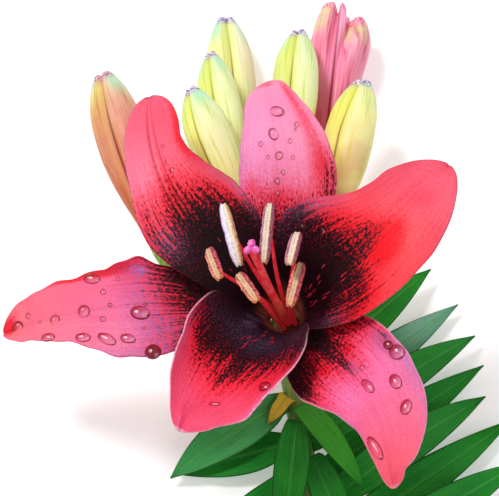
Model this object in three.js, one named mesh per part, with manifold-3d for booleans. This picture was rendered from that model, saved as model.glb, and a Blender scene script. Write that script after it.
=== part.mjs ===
// A cut stem of an Asiatic lily, lying on a flat surface: one open bloom that faces up, seven
// buds on their stalks round the top of the stem, and lance-shaped leaves in a spiral below.
// Millimetres and degrees. +Z is up and the surface is z = 0. The stem runs along +Y towards its
// tip, and the origin is on its flat underside, below the foot of the bloom.
import * as THREE from "three";
import { mergeVertices } from "three/addons/utils/BufferGeometryUtils.js";
import Module from "manifold-3d";

const { Vector3 } = THREE;
const rad = THREE.MathUtils.degToRad;
const { lerp, smoothstep, clamp } = THREE.MathUtils;
const wasm = await Module();
wasm.setup();

// ---------- driving dimensions ----------

const GAP = 0.3; // between a piece and the one that carries it

const COLOURS = {
  stem: { color: "#5f8f3c", roughness: 0.6 },
  leaf: { color: "#2f8440", roughness: 0.45 },
  tepal: { color: "#e2384f", roughness: 0.5 },
  filament: { color: "#c81f2c", roughness: 0.45 },
  anther: { color: "#c98a5e", roughness: 0.8 },
  pistil: { color: "#d9415c", roughness: 0.4 },
  greenBud: { color: "#bccb52", roughness: 0.5 },
  flushedBud: { color: "#c98a4e", roughness: 0.5 },
  redBud: { color: "#d8455f", roughness: 0.5 },
};

const STEM = {
  sides: 10,
  steps: 26,
  cutRadius: 4.6,
  headRadius: 3.7,
  cutSlant: 0.7, // how far the cut end leans, per millimetre of height
  // where its middle passes over the surface, from the cut end to just past the bloom's foot
  lying: [[30, -206], [22, -140], [13, -80], [5.5, -34], [0, 0], [-1, 6]],
  // the top of the stem, which rises off the surface and carries the bud stalks
  rising: [[-3, 19, 6.5], [-5, 35, 14.5], [-6, 50, 21]],
  tipRadius: 2.2,
};

// The bloom's own frame: its foot over the origin, its axis +Z before it is turned.
const BLOOM = {
  foot: [0, 0, 38],
  turn: [-2, -13, 0], // leans a little to -X
  stalkRadius: 2.4,
  receptacle: 6.2,
};

// One tepal. Azimuth round the bloom, slope of its middle line and half width on each side are runs
// of values evenly spaced from its base to its tip (clock is its clockwise side, as seen from above).
// Cup is how much further each side curls up than its place in the funnel makes it.
const TEPALS = [
  {
    name: "petal_right", inner: true, length: 86, azimuth: [8, 16, 31], slope: [66, 28, -20],
    clock: [12, 20.5, 23.5, 19, 14, 10], counter: [15, 27.5, 25, 17.5, 12.5, 10], cup: [0.1, 0.3], phase: 0.1,
  },
  {
    name: "sepal_top", inner: false, length: 97.5, azimuth: [78, 81, 90], slope: [56, 34, -52],
    clock: [9.8, 16.5, 20, 15.3, 7.5, 5], counter: [12, 15, 10.5, 9], cup: [0, 0.1], phase: 0.4,
  },
  {
    name: "petal_upper_left", inner: true, length: 99.5, azimuth: [134, 133, 119], slope: [66, 30, -20],
    clock: [14, 19, 9.2, 10.5], counter: [9.5, 15, 19, 14.5, 12, 9.5], cup: [0.2, 0.1], phase: 0.7,
  },
  {
    name: "sepal_left", inner: false, length: 105, azimuth: [184, 186, 184], slope: [58, 18, -28],
    clock: [11, 17, 14, 10], counter: [12, 18, 9, 6], cup: [0.15, 0.05], phase: 0.2,
  },
  {
    name: "petal_lower_left", inner: true, length: 74, azimuth: [250, 249, 243], slope: [66, 40, 10],
    clock: [19, 27.5, 17.5, 8.5], counter: [18, 26, 20, 10], cup: [0.85, 0.4], phase: 0.5,
  },
  {
    name: "sepal_lower_right", inner: false, length: 90, azimuth: [313, 312.5, 311, 307.5, 299],
    slope: [58, 22, -16], clock: [13, 19, 10, 4.5], counter: [12, 18, 16, 7], cup: [0.1, 0.1], phase: 0.9,
  },
];
const TEPAL = {
  rows: 14,
  columns: 8,
  base: 3.2, // half width where it leaves the foot
  innerFoot: 4.2, // how far from the axis the two rings of three stand
  outerFoot: 5.4,
  edge: 0.8,
  middle: 1.3,
  innerWave: 2.2, // height of the ruffle along the edge
  outerWave: 1.2,
  waves: 2.2,
  blunt: 0.2, // share of its length in which its end is rounded off
};

// One stamen: where its anther's middle is in the bloom's frame, and which way the anther points.
const STAMENS = [
  { azimuth: 165, reach: 15.6, height: 47, along: [-0.33, 0.83, -0.45], long: 19.5 },
  { azimuth: 125, reach: 15, height: 50, along: [-0.15, 0.86, 0.48], long: 23 },
  { azimuth: 73, reach: 12.3, height: 50, along: [0.19, 0.91, 0.37], long: 21.5 },
  { azimuth: 32, reach: 13.7, height: 46, along: [0.06, 0.86, -0.51], long: 19.5 },
  { azimuth: 341, reach: 12, height: 42, along: [0.19, 0.96, -0.22], long: 19 },
  { azimuth: 240, reach: 6.9, height: 48, along: [-0.47, 0.78, -0.41], long: 18.5 },
];
const STAMEN = { foot: 2.65, radius: 0.7, half: 2.1 };
const PISTIL = { ovary: 1.6, ovaryLength: 17, style: 1.5, height: 50, lean: [-1.6, 7], lobe: 1.5 };

// One bud: its base and tip, its greatest radius, the share of it that is lost at the tip (taper), how
// far the furrow on its upper side is rolled to the right, and how far up the top of the stem its
// stalk leaves it, from 0 to 1. Where it lies, its belly is on the surface.
const BUDS = [
  {
    name: "bud_left", coat: "flushedBud", base: [-50, 43, 14], tip: [-70.3, 112.2, 12], radius: 9.8,
    taper: 0.6, roll: -24, from: 0.1, lies: true,
  },
  {
    name: "bud_back", coat: "greenBud", base: [-17, 62, 10], tip: [-23, 137, 10], radius: 9.5,
    taper: 0.66, roll: 6, from: 0.8, lies: true,
  },
  {
    name: "bud_middle", coat: "greenBud", base: [-17.5, 53, 27], tip: [-28.3, 112, 28], radius: 7.9,
    taper: 0.74, roll: -24, from: 0.6,
  },
  {
    name: "bud_front", coat: "greenBud", base: [-14, 37, 38.5], tip: [-35, 89, 44.5], radius: 8.8,
    taper: 0.74, roll: -46, from: 0.35,
  },
  {
    name: "bud_centre", coat: "greenBud", base: [1.5, 60, 26], tip: [5.5, 122, 27], radius: 8.7,
    taper: 0.68, roll: -16, from: 0.9,
  },
  {
    name: "bud_opening", coat: "redBud", base: [13, 60, 11], tip: [22, 139.5, 13], radius: 10.5,
    taper: 0.34, roll: 0, from: 0.7, lies: true, open: 1,
  },
  {
    name: "bud_right", coat: "greenBud", base: [14, 35, 29], tip: [29.5, 98, 32], radius: 9.5,
    taper: 0.66, roll: -30, from: 0.3,
  },
];
const BUD = { around: 18, rings: 10, foot: 2.2, widest: 0.6, stalk: 1.7 };

// One leaf of those below the bloom: y of its base, where round the stem it grows (0 is the right
// side, 90 the top), the way it heads in plan, the slope at its base and at its tip, its length and
// its half width.
const UPPER_LEAVES = [
  { y: -18, turn: 132, heading: 238, climb: 30, tip: 0, length: 13.5, half: 2.8 },
  { y: -13, turn: 20, heading: 43, climb: 16, tip: -12, length: 66, half: 8 },
  { y: -19, turn: 160, heading: 213.5, climb: 22, tip: -24, length: 51, half: 8.5 },
  { y: -22, turn: 72, heading: 304, climb: 50, tip: -34, length: 43, half: 5 },
  { y: -24, turn: 4, heading: 38, climb: 0, tip: 2, length: 70, half: 7.5 },
  { y: -27, turn: 100, heading: 264, climb: 38, tip: -22, length: 60, half: 6.5 },
  { y: -34, turn: 176, heading: 194.5, climb: 2, tip: -8, length: 42, half: 8 },
  { y: -35, turn: 28, heading: 34.5, climb: 20, tip: -20, length: 74, half: 8 },
  { y: -40.5, turn: 60, heading: 288, climb: 38, tip: -26, length: 54, half: 6.5 },
  { y: -46.5, turn: 4, heading: 33.5, climb: 0, tip: 2, length: 73, half: 7.5 },
  { y: -46, turn: 155, heading: 226, climb: 20, tip: -24, length: 80, half: 8 },
];
// Those further down follow two rules. The lower ones grow right and left by turns, and each side's
// are low and high by turns. The top ones stand up from the stem, left and right by turns.
const LEAF = {
  lower: { count: 16, first: -58, pitch: 6.5 },
  top: { count: 6, first: -74, pitch: 14 },
  rows: 9,
  shortest: 75,
  longest: 98,
  half: 7.8,
  base: 3.6, // half width where it leaves the stem
  edge: 0.6,
  middle: 1.1,
  fold: 16, // how far each half rises from the midrib
};

// ---------- solids ----------

// A geometry as a manifold-3d solid, with its shared vertices merged.
function toSolid(geometry) {
  const bare = geometry.clone();
  bare.deleteAttribute("normal");
  bare.deleteAttribute("uv");
  const merged = mergeVertices(bare, 1e-4);
  return new wasm.Manifold(
    new wasm.Mesh({
      numProp: 3,
      vertProperties: merged.attributes.position.array,
      triVerts: new Uint32Array(merged.index.array),
    }),
  );
}

function fromSolid(solid) {
  const { vertProperties, triVerts } = solid.getMesh();
  return new THREE.BufferGeometry()
    .setAttribute("position", new THREE.BufferAttribute(vertProperties, 3))
    .setIndex(new THREE.BufferAttribute(triVerts, 1));
}

function join(geometries) {
  return fromSolid(geometries.map(toSolid).reduce((a, b) => a.add(b)));
}

// Moves each vertex of a geometry to the place that a function gives for it.
function reshape(geometry, place) {
  const position = geometry.attributes.position;
  const v = new Vector3();
  for (let i = 0; i < position.count; i++) {
    const p = place(v.fromBufferAttribute(position, i));
    position.setXYZ(i, p.x, p.y, p.z);
  }
  return geometry;
}

// A round limb of changing radius along a curve, with a flat facet facing away from `up`.
function limb(curve, radiusAt, sides, steps, up = new Vector3(0, 0, 1)) {
  const straight = new THREE.CylinderGeometry(1, 1, 1, sides, steps, false, Math.PI / sides);
  return reshape(straight, ({ x, y, z }) => {
    const t = clamp(y + 0.5, 0, 1);
    const along = curve.getTangentAt(t);
    const side = new Vector3().crossVectors(along, up).normalize();
    const rise = new Vector3().crossVectors(side, along);
    const r = radiusAt(t);
    return curve.getPointAt(t).addScaledVector(side, x * r).addScaledVector(rise, z * r);
  });
}

// A thin closed blade. place(s, u) is a point of its middle surface, with s from base to tip and
// u from -1 to 1 across, and half(s, u) is half its thickness there. Both faces are split alike.
function blade(rows, columns, place, half) {
  const positions = [];
  const index = [];
  const step = 1e-3;
  const stride = columns + 1;
  const back = stride * (rows + 1);
  for (const face of [1, -1])
    for (let j = 0; j <= rows; j++)
      for (let i = 0; i <= columns; i++) {
        const s = 1 - (1 - j / rows) ** 1.2; // rows stand closer towards the tip
        const u = (2 * i) / columns - 1;
        const along = place(Math.min(s + step, 1), u).sub(place(Math.max(s - step, 0), u));
        const across = place(s, u + step).sub(place(s, u - step));
        const normal = along.cross(across).normalize();
        const p = place(s, u).addScaledVector(normal, face * half(s, u));
        positions.push(p.x, p.y, p.z);
      }
  for (let j = 0; j < rows; j++)
    for (let i = 0; i < columns; i++) {
      const a = j * stride + i;
      const [b, c, d] = [a + 1, a + stride + 1, a + stride];
      index.push(a, d, c, a, c, b);
      index.push(back + a, back + c, back + d, back + a, back + b, back + c);
    }
  const run = (count, at) => Array.from({ length: count }, (_, k) => at(k));
  const rim = [
    ...run(rows, (j) => j * stride),
    ...run(columns, (i) => rows * stride + i),
    ...run(rows, (j) => (rows - j) * stride + columns),
    ...run(columns, (i) => columns - i),
  ];
  rim.forEach((p, k) => {
    const q = rim[(k + 1) % rim.length];
    index.push(q, p, back + p, q, back + p, back + q);
  });
  return new THREE.BufferGeometry()
    .setAttribute("position", new THREE.Float32BufferAttribute(positions, 3))
    .setIndex(index);
}

function piece(name, geometry, coat) {
  const mesh = new THREE.Mesh(geometry, new THREE.MeshStandardMaterial({ ...COLOURS[coat], metalness: 0 }));
  mesh.name = name;
  return mesh;
}

// The value at s, from 0 to 1, of a smooth run through evenly spaced values.
function spread(values, s) {
  const last = values.length - 1;
  const x = clamp(s, 0, 1) * last;
  const k = Math.min(Math.floor(x), last - 1);
  const t = x - k;
  const [a, b, c, d] = [k - 1, k, k + 1, k + 2].map((i) => values[clamp(i, 0, last)]);
  return b + (t / 2) * (c - a + t * (2 * a - 5 * b + 4 * c - d + t * (3 * (b - c) + d - a)));
}

// A repeatable value from -1 to 1, different for each pair of whole numbers.
function wobble(i, k) {
  const x = Math.sin(i * 127.1 + k * 311.7) * 43758.5453;
  return 2 * (x - Math.floor(x)) - 1;
}

// ---------- the bloom ----------

// The middle line of a tepal in the plane of the bloom's axis: how far out, how high, and its slope.
function tepalLine({ inner, length, slope }) {
  const steps = 60;
  const line = [{ out: inner ? TEPAL.innerFoot : TEPAL.outerFoot, up: GAP + 0.4 }];
  for (let k = 0; k < steps; k++) {
    const angle = rad(spread(slope, (k + 0.5) / steps));
    const { out, up } = line[k];
    line.push({ out: out + (Math.cos(angle) * length) / steps, up: up + (Math.sin(angle) * length) / steps });
  }
  return (s) => {
    const k = clamp(s, 0, 1) * steps;
    const low = Math.min(Math.floor(k), steps - 1);
    const [a, b] = [line[low], line[low + 1]];
    return { out: lerp(a.out, b.out, k - low), up: lerp(a.up, b.up, k - low), slope: rad(spread(slope, s)) };
  };
}

function tepal(spec) {
  const { inner, azimuth, clock, counter, cup, phase } = spec;
  const line = tepalLine(spec);
  const wave = inner ? TEPAL.innerWave : TEPAL.outerWave;
  const spine = (s) => {
    const { out, up } = line(s);
    const turn = rad(spread(azimuth, clamp(s, 0, 1)));
    return new Vector3(out * Math.cos(turn), out * Math.sin(turn), up);
  };
  const place = (s, u) => {
    const { out, slope } = line(s);
    const centre = spine(s);
    const along = spine(Math.min(s + 0.01, 1)).sub(spine(Math.max(s - 0.01, 0))).normalize();
    const side = new Vector3(0, 0, 1).cross(along).normalize();
    const normal = new Vector3().crossVectors(along, side);
    const [widths, curl] = u < 0 ? [clock, cup[0]] : [counter, cup[1]];
    const end = Math.sqrt(1 - clamp((s - 1 + TEPAL.blunt) / TEPAL.blunt, 0, 0.995) ** 2);
    const w = spread([TEPAL.base, ...widths], s) * end;
    const bow = Math.max((w * Math.sin(slope)) / out + curl * smoothstep(s, 0.15, 0.5), 0.01);
    const ripple = Math.sin(2 * Math.PI * (TEPAL.waves * s + phase + (u > 0 ? 0.3 : 0)));
    const edge = wave * Math.abs(u) ** 2.5 * ripple * smoothstep(s, 0.25, 0.55) * end;
    const groove = 0.7 * Math.exp(-((u / 0.16) ** 2)) * smoothstep(s, 0.1, 0.3);
    centre.addScaledVector(side, (w * Math.sin(u * bow)) / bow);
    return centre.addScaledVector(normal, (w * (1 - Math.cos(u * bow))) / bow + edge - groove);
  };
  const half = (s, u) => lerp(TEPAL.edge, TEPAL.middle, Math.exp(-((u / 0.3) ** 2)) * (1 - s * 0.5)) / 2;
  return piece(spec.name, blade(TEPAL.rows, TEPAL.columns, place, half), "tepal");
}

function polar(radius, azimuth, height) {
  return new Vector3(radius * Math.cos(rad(azimuth)), radius * Math.sin(rad(azimuth)), height);
}

// An anther: two lobes side by side with a furrow between them, hung by its middle.
function anther({ azimuth, reach, height, along, long }, name) {
  const shape = new THREE.SphereGeometry(1, 10, 8).rotateZ(Math.PI / 2);
  reshape(shape, ({ x, y, z }) => {
    const round = Math.sqrt(Math.max(1 - x * x, 0)) || 1;
    const full = (1 - Math.abs(x) ** 4) ** 0.5 / round; // blunter ends than a ball's
    const furrow = 1 - 0.4 * Math.exp(-((y / 0.4) ** 2));
    return new Vector3((x * long) / 2, y * full * STAMEN.half, z * full * STAMEN.half * 0.75 * furrow);
  });
  const middle = polar(reach, azimuth, height);
  const axis = new Vector3(...along).normalize();
  const side = new Vector3().crossVectors(middle.clone().setZ(height * 2), axis).normalize();
  const face = new Vector3().crossVectors(axis, side);
  shape.applyMatrix4(new THREE.Matrix4().makeBasis(axis, side, face).setPosition(middle));
  return piece(name, shape, "anther");
}

function filament({ azimuth, reach, height, along }, name) {
  const middle = polar(reach, azimuth, height);
  const axis = new Vector3(...along).normalize();
  const side = new Vector3().crossVectors(middle.clone().setZ(height * 2), axis).normalize();
  const behind = new Vector3().crossVectors(side, axis);
  const end = middle.clone().addScaledVector(behind, STAMEN.half * 0.75 + GAP);
  const curve = new THREE.CatmullRomCurve3([
    polar(STAMEN.foot, azimuth, GAP),
    polar(STAMEN.foot + 1.2, azimuth, 14),
    polar(lerp(STAMEN.foot, reach, 0.5), azimuth, height * 0.6),
    end.clone().addScaledVector(behind, 3).lerp(polar(reach, azimuth, height - 6), 0.3),
    end,
  ]);
  const radiusAt = (t) => STAMEN.radius * (1 - 0.35 * t);
  return piece(name, limb(curve, radiusAt, 6, 9, polar(1, azimuth - 90, 0)), "filament");
}

// Ovary, style and three-lobed stigma, which grew as one.
function pistil() {
  const { ovary, ovaryLength, style, height, lean, lobe } = PISTIL;
  const top = new Vector3(lean[0], lean[1], height);
  const curve = new THREE.CatmullRomCurve3([
    new Vector3(0, 0, GAP),
    new Vector3(0, 0, ovaryLength),
    new Vector3(lean[0] * 0.1, lean[1] * 0.1, height * 0.55),
    top,
  ]);
  const swell = (t) => (t < 0.35 ? ovary : lerp(ovary, style * 0.8, smoothstep(t, 0.35, 0.42)));
  const radiusAt = (t) => swell(t) + (style - style * 0.8) * smoothstep(t, 0.8, 1);
  const lobes = [90, 210, 330].map((azimuth) =>
    new THREE.SphereGeometry(lobe, 8, 6).translate(...polar(lobe * 1.05, azimuth, 0).add(top).toArray()),
  );
  return piece("pistil", join([limb(curve, radiusAt, 8, 14, new Vector3(0, 1, 0)), ...lobes]), "pistil");
}

function bloom() {
  const group = new THREE.Group();
  group.position.set(...BLOOM.foot);
  group.rotation.set(...BLOOM.turn.map(rad));
  group.add(...TEPALS.map(tepal));
  STAMENS.forEach((stamen, i) => {
    group.add(filament(stamen, `filament_${i + 1}`), anther(stamen, `anther_${i + 1}`));
  });
  group.add(pistil());
  group.updateMatrixWorld(true);
  return group;
}

// ---------- buds ----------

// A bud along +Z: three outer tepals that meet at furrows. As it opens, their tips part, and the
// one at its side bends away and stands lower than the others.
function budShape({ base, tip, radius, taper, roll, open = 0 }) {
  const length = new Vector3(...tip).distanceTo(new Vector3(...base));
  const outline = (x) => {
    const past = (x - BUD.widest) / (1 - BUD.widest);
    return x < BUD.widest
      ? lerp(BUD.foot, radius, Math.sin((Math.PI / 2) * (x / BUD.widest)) ** 1.2)
      : radius * (1 - taper * past ** 2.8);
  };
  const profile = [new THREE.Vector2(0, 0)];
  for (let k = 0; k <= BUD.rings; k++) {
    const x = 1 - (1 - k / BUD.rings) ** 1.15;
    profile.push(new THREE.Vector2(outline(x), x * length));
  }
  profile.push(new THREE.Vector2(0, length * (1.01 - 0.12 * open)));
  const lathe = new THREE.LatheGeometry(profile, BUD.around);
  reshape(lathe, ({ x, y, z }) => {
    const turns = Math.atan2(x, z) / (2 * Math.PI);
    const seam = Math.abs(((turns * 3 + 3.5) % 1) - 0.5) / 3; // turns from a furrow's middle
    const top = smoothstep(y / length, 0.55, 1);
    const furrow = Math.exp(-((seam / 0.035) ** 2));
    const ridge = 0.04 * Math.cos(6 * Math.PI * turns + Math.PI);
    const rib = 1 + ridge - (0.12 + (0.22 + 0.3 * open) * top) * furrow;
    const aside = open * top * smoothstep(Math.cos(2 * Math.PI * (turns - 1 / 6)), 0.3, 0.7);
    const up = y - length * (0.05 * open * top * furrow + 0.07 * aside);
    return new Vector3(x * rib * (1 + 0.55 * aside), up, z * rib * (1 + 0.55 * aside));
  });
  return lathe.rotateX(Math.PI / 2).rotateZ(rad(roll));
}

function bud(spec) {
  const shape = budShape(spec);
  const base = new Vector3(...spec.base);
  const along = new Vector3(...spec.tip).sub(base).normalize();
  const side = new Vector3().crossVectors(along, new Vector3(0, 0, 1)).normalize();
  const up = new Vector3().crossVectors(side, along);
  shape.applyMatrix4(new THREE.Matrix4().makeBasis(side, up.negate(), along).setPosition(base));
  shape.computeBoundingBox();
  const drop = spec.lies ? -shape.boundingBox.min.z : 0; // down or up until its belly lies on the surface
  shape.translate(0, 0, drop);
  return { mesh: piece(spec.name, shape, spec.coat), base: base.setZ(base.z + drop), along };
}

// ---------- the stem ----------

const lyingCurve = (() => {
  const { lying, rising, cutRadius, headRadius, sides } = STEM;
  const flat = Math.cos(Math.PI / sides);
  const onSurface = lying.map(([x, y], i) => {
    return new Vector3(x, y, lerp(cutRadius, headRadius, i / (lying.length - 1)) * flat);
  });
  const offSurface = rising.map((p) => new Vector3(...p));
  return new THREE.CatmullRomCurve3([...onSurface, ...offSurface], false, "centripetal");
})();

// Where on the curve the stem passes a given y, by halving.
function stemAt(y) {
  let [low, high] = [0, 1];
  for (let k = 0; k < 24; k++) {
    const middle = (low + high) / 2;
    [low, high] = lyingCurve.getPointAt(middle).y < y ? [middle, high] : [low, middle];
  }
  return low;
}

const headAt = stemAt(0);
const stemRadius = (t) =>
  t < headAt
    ? lerp(STEM.cutRadius, STEM.headRadius, t / headAt)
    : lerp(STEM.headRadius, STEM.tipRadius, (t - headAt) / (1 - headAt));

// The stem with the bloom's stalk, its receptacle and the bud stalks, which grew as one.
function stem(bloomMatrix, buds) {
  const [cutEnd, lastLying] = [STEM.lying[0], STEM.lying[STEM.lying.length - 1]];
  const main = reshape(limb(lyingCurve, stemRadius, STEM.sides, STEM.steps), (p) => {
    const slant = p.y < cutEnd[1] + 2 ? (p.z - STEM.cutRadius) * STEM.cutSlant : 0;
    const under = p.y < lastLying[1] + 1 && p.z < 0.8; // it is flat below, where it lies
    return p.set(p.x, p.y + slant, under ? 0 : p.z);
  });
  const foot = new Vector3(0, 0, -2).applyMatrix4(bloomMatrix);
  const axis = new Vector3(0, 0, 1).transformDirection(bloomMatrix);
  const from = lyingCurve.getPointAt(stemAt(-16));
  const bloomPath = new THREE.CubicBezierCurve3(
    from,
    from.clone().add(new Vector3(-3, 14, 8)),
    foot.clone().addScaledVector(axis, -16),
    foot,
  );
  const bloomStalk = limb(bloomPath, () => BLOOM.stalkRadius, 8, 9, new Vector3(1, 0, 0));
  const outline = [[0, -6], [2.4, -6], [4.2, -3.6], [5.5, -1.4], [BLOOM.receptacle, 0], [0, 0]];
  const receptacle = new THREE.LatheGeometry(outline.map(([x, y]) => new THREE.Vector2(x, y)), 14);
  receptacle.rotateX(Math.PI / 2).applyMatrix4(bloomMatrix);
  const stalks = buds.map(({ base, along }, i) => {
    const start = lyingCurve.getPointAt(lerp(headAt, 1, BUDS[i].from));
    const reach = start.distanceTo(base) * 0.4;
    const end = base.clone().addScaledVector(along, -GAP);
    const out = end.clone().sub(start).setZ(0).normalize().multiplyScalar(reach);
    const leave = start.clone().add(out);
    const arrive = end.clone().addScaledVector(along, -reach);
    const path = new THREE.CubicBezierCurve3(start, leave, arrive, end);
    return limb(path, (t) => lerp(BUD.stalk, BUD.foot, t ** 3), 8, 8);
  });
  return piece("stem", join([main, bloomStalk, receptacle, ...stalks]), "stem");
}

// ---------- leaves ----------

function lowerLeaf(i) {
  const { count, first, pitch } = LEAF.lower;
  const right = i % 2 === 0;
  const high = (Math.floor(i / 2) % 2 === 0) === right;
  const down = i / (count - 1);
  const lift = high ? 28 : 4;
  return {
    y: first - i * pitch,
    turn: right ? lift : 180 - lift,
    heading: (right ? lerp(34, 22, down) : lerp(222, 212, down)) + wobble(i, 1),
    climb: high ? 22 : 0,
    tip: high ? -22 : 2,
    length: lerp(LEAF.shortest, LEAF.longest, down) * (1 + 0.03 * wobble(i, 2)),
    half: LEAF.half,
  };
}

function topLeaf(i) {
  const right = i % 2 === 1;
  return {
    y: LEAF.top.first - i * LEAF.top.pitch,
    turn: right ? 70 : 110,
    heading: (right ? 303 : 243) + 2 * wobble(i, 5),
    climb: 58 + 4 * wobble(i, 6),
    tip: -24,
    length: 74 + 5 * wobble(i, 7),
    half: LEAF.half - 1,
  };
}

// The middle line of a leaf, which bends a little to one side on its way to the tip.
function leafLine({ y, turn, heading, climb, tip, length }, bend) {
  const t = stemAt(y);
  const forward = lyingCurve.getTangentAt(t);
  const right = new Vector3(forward.y, -forward.x, 0).normalize();
  const radius = stemRadius(t) + GAP + (LEAF.middle / 2) * Math.abs(Math.sin(rad(turn)));
  const start = lyingCurve.getPointAt(t).addScaledVector(right, radius * Math.cos(rad(turn)));
  const line = [start.setZ(start.z + radius * Math.sin(rad(turn)))];
  const steps = 24;
  for (let k = 0; k < steps; k++) {
    const s = (k + 0.5) / steps;
    const slope = rad(lerp(climb, tip, s));
    const move = polar(Math.cos(slope), heading + bend * s, Math.sin(slope));
    line.push(line[k].clone().addScaledVector(move, length / steps));
  }
  const fromStem = rad(heading) - Math.atan2(forward.y, forward.x);
  // A side leaf's base is cut along the stem: how much further out its counter-clockwise corner is.
  const shear = Math.abs(Math.cos(rad(turn))) > 0.7 ? -1 / Math.tan(fromStem) : 0;
  return { spine: new THREE.CatmullRomCurve3(line), shear, out: line[1].clone().sub(line[0]).normalize() };
}

function leaf(spec, i) {
  const { spine, shear, out } = leafLine(spec, 3 * wobble(i, 3));
  const roll = rad(8 * wobble(i, 4));
  const place = (s, u) => {
    const along = spine.getTangent(clamp(s, 0, 1));
    const across = new Vector3(0, 0, 1).cross(along).normalize().applyAxisAngle(along, roll * s);
    const normal = new Vector3().crossVectors(along, across);
    const widest = 0.38;
    const wide = s < widest
      ? lerp(LEAF.base, spec.half, Math.sin((Math.PI / 2) * (s / widest)))
      : Math.max(spec.half * (1 - ((s - widest) / (1 - widest)) ** 1.9), 0.5);
    const fold = rad(LEAF.fold * (1 - 0.4 * s));
    const p = spine.getPoint(clamp(s, 0, 1)).addScaledVector(across, u * wide * Math.cos(fold));
    p.addScaledVector(normal, Math.abs(u) * wide * Math.sin(fold));
    p.addScaledVector(out, u * wide * shear * (1 - smoothstep(s, 0, 0.15)));
    return p.setZ(Math.max(p.z, LEAF.middle / 2 + 0.05)); // it lies on the surface where it would dip below
  };
  const half = (s, u) => lerp(LEAF.middle, LEAF.edge, Math.abs(u)) / 2;
  return piece(`leaf_${String(i + 1).padStart(2, "0")}`, blade(LEAF.rows, 2, place, half), "leaf");
}

// ---------- the whole ----------

const open = bloom();
const buds = BUDS.map(bud);
const lily = new THREE.Group();
lily.add(stem(open.matrixWorld, buds), open, ...buds.map(({ mesh }) => mesh));
const leaves = [
  ...UPPER_LEAVES,
  ...Array.from({ length: LEAF.lower.count }, (_, i) => lowerLeaf(i)),
  ...Array.from({ length: LEAF.top.count }, (_, i) => topLeaf(i)),
];
lily.add(...leaves.map(leaf));

export default lily;
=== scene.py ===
# A cut stem of an Asiatic lily, lying on a pale table: one open bloom, seven buds and the leaves.
# Lengths are in millimetres until a point is placed, and mm turns them into metres.
import math
import random
from functools import partial
import bmesh
import bpy
from mathutils import Matrix, Vector, noise
from mathutils.bvhtree import BVHTree


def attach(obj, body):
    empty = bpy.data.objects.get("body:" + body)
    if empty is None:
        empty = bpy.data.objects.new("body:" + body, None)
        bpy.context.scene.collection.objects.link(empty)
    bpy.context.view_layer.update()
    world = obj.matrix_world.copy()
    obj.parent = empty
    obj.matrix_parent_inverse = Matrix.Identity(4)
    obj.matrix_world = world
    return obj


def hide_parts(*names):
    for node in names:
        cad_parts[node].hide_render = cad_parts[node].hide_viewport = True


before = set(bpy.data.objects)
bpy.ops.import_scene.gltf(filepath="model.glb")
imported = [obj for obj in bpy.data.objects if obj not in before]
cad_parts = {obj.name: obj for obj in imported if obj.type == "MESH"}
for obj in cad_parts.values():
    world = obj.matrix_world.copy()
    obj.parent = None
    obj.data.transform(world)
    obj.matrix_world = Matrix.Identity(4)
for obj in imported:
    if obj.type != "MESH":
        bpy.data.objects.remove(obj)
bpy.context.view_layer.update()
mm = 0.001
radians = math.radians
up = Vector((0, 0, 1))


# numbers and lines

lineSteps, bowSteps, bowPoints = 40, 80, 60  # worked out between two corners and along a bow, and kept of it


def clamp(x, low, high):
    return max(low, min(high, x))


def lerp(a, b, t):
    return a + (b - a) * t


def smoothstep(x, low, high):
    t = clamp((x - low) / (high - low), 0, 1)
    return t * t * (3 - 2 * t)


def bump(x, middle, width):  # 1 at the middle, falling off to both sides
    return math.exp(-(((x - middle) / width) ** 2))


def spread(values, s):  # a smooth run through evenly spaced values, for s from 0 to 1
    last = len(values) - 1
    x = clamp(s, 0, 1) * last
    k = min(int(x), last - 1)
    t = x - k
    a, b, c, d = (values[clamp(i, 0, last)] for i in range(k - 1, k + 3))
    return b + t / 2 * (c - a + t * (2 * a - 5 * b + 4 * c - d + t * (3 * (b - c) + d - a)))


def polar(radius, azimuth, height):
    return Vector((radius * math.cos(radians(azimuth)), radius * math.sin(radians(azimuth)), height))


def rough(point, size):  # a smooth random value from about -1 to 1, which changes over size millimetres
    return noise.noise(point / size)


def evenLine(points, count):  # the same line as evenly spaced points
    lengths = [0]
    for a, b in zip(points, points[1:]):
        lengths.append(lengths[-1] + (b - a).length)
    line, k = [], 0
    for i in range(count + 1):
        goal = lengths[-1] * i / count
        while k < len(points) - 2 and lengths[k + 1] < goal:
            k += 1
        line.append(points[k].lerp(points[k + 1], (goal - lengths[k]) / (lengths[k + 1] - lengths[k])))
    return line


def smoothLine(corners, count):  # an even line through a few points, rounded where it turns
    first, last = 2 * corners[0] - corners[1], 2 * corners[-1] - corners[-2]
    corners = [first, *corners, last]
    fine = []
    for p0, p1, p2, p3 in zip(corners, corners[1:], corners[2:], corners[3:]):
        d0, d1, d2 = ((b - a).length ** 0.5 for a, b in ((p0, p1), (p1, p2), (p2, p3)))
        m1 = ((p1 - p0) / d0 - (p2 - p0) / (d0 + d1) + (p2 - p1) / d1) * d1
        m2 = ((p2 - p1) / d1 - (p3 - p1) / (d1 + d2) + (p3 - p2) / d2) * d1
        squared, cubed = 3 * (p2 - p1) - 2 * m1 - m2, 2 * (p1 - p2) + m1 + m2
        for k in range(lineSteps):
            t = k / lineSteps
            fine.append(p1 + m1 * t + squared * t ** 2 + cubed * t ** 3)
    return evenLine([*fine, corners[-2]], count)


def bowLine(start, leave, arrive, end):  # an even line that leaves and arrives along two handles
    points = [
        start * (1 - t) ** 3 + leave * 3 * t * (1 - t) ** 2 + arrive * 3 * t ** 2 * (1 - t) + end * t ** 3
        for t in (k / bowSteps for k in range(bowSteps + 1))
    ]
    return evenLine(points, bowPoints)


def pointAt(line, t):
    x = clamp(t, 0, 1) * (len(line) - 1)
    k = min(int(x), len(line) - 2)
    return line[k].lerp(line[k + 1], x - k)


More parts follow.
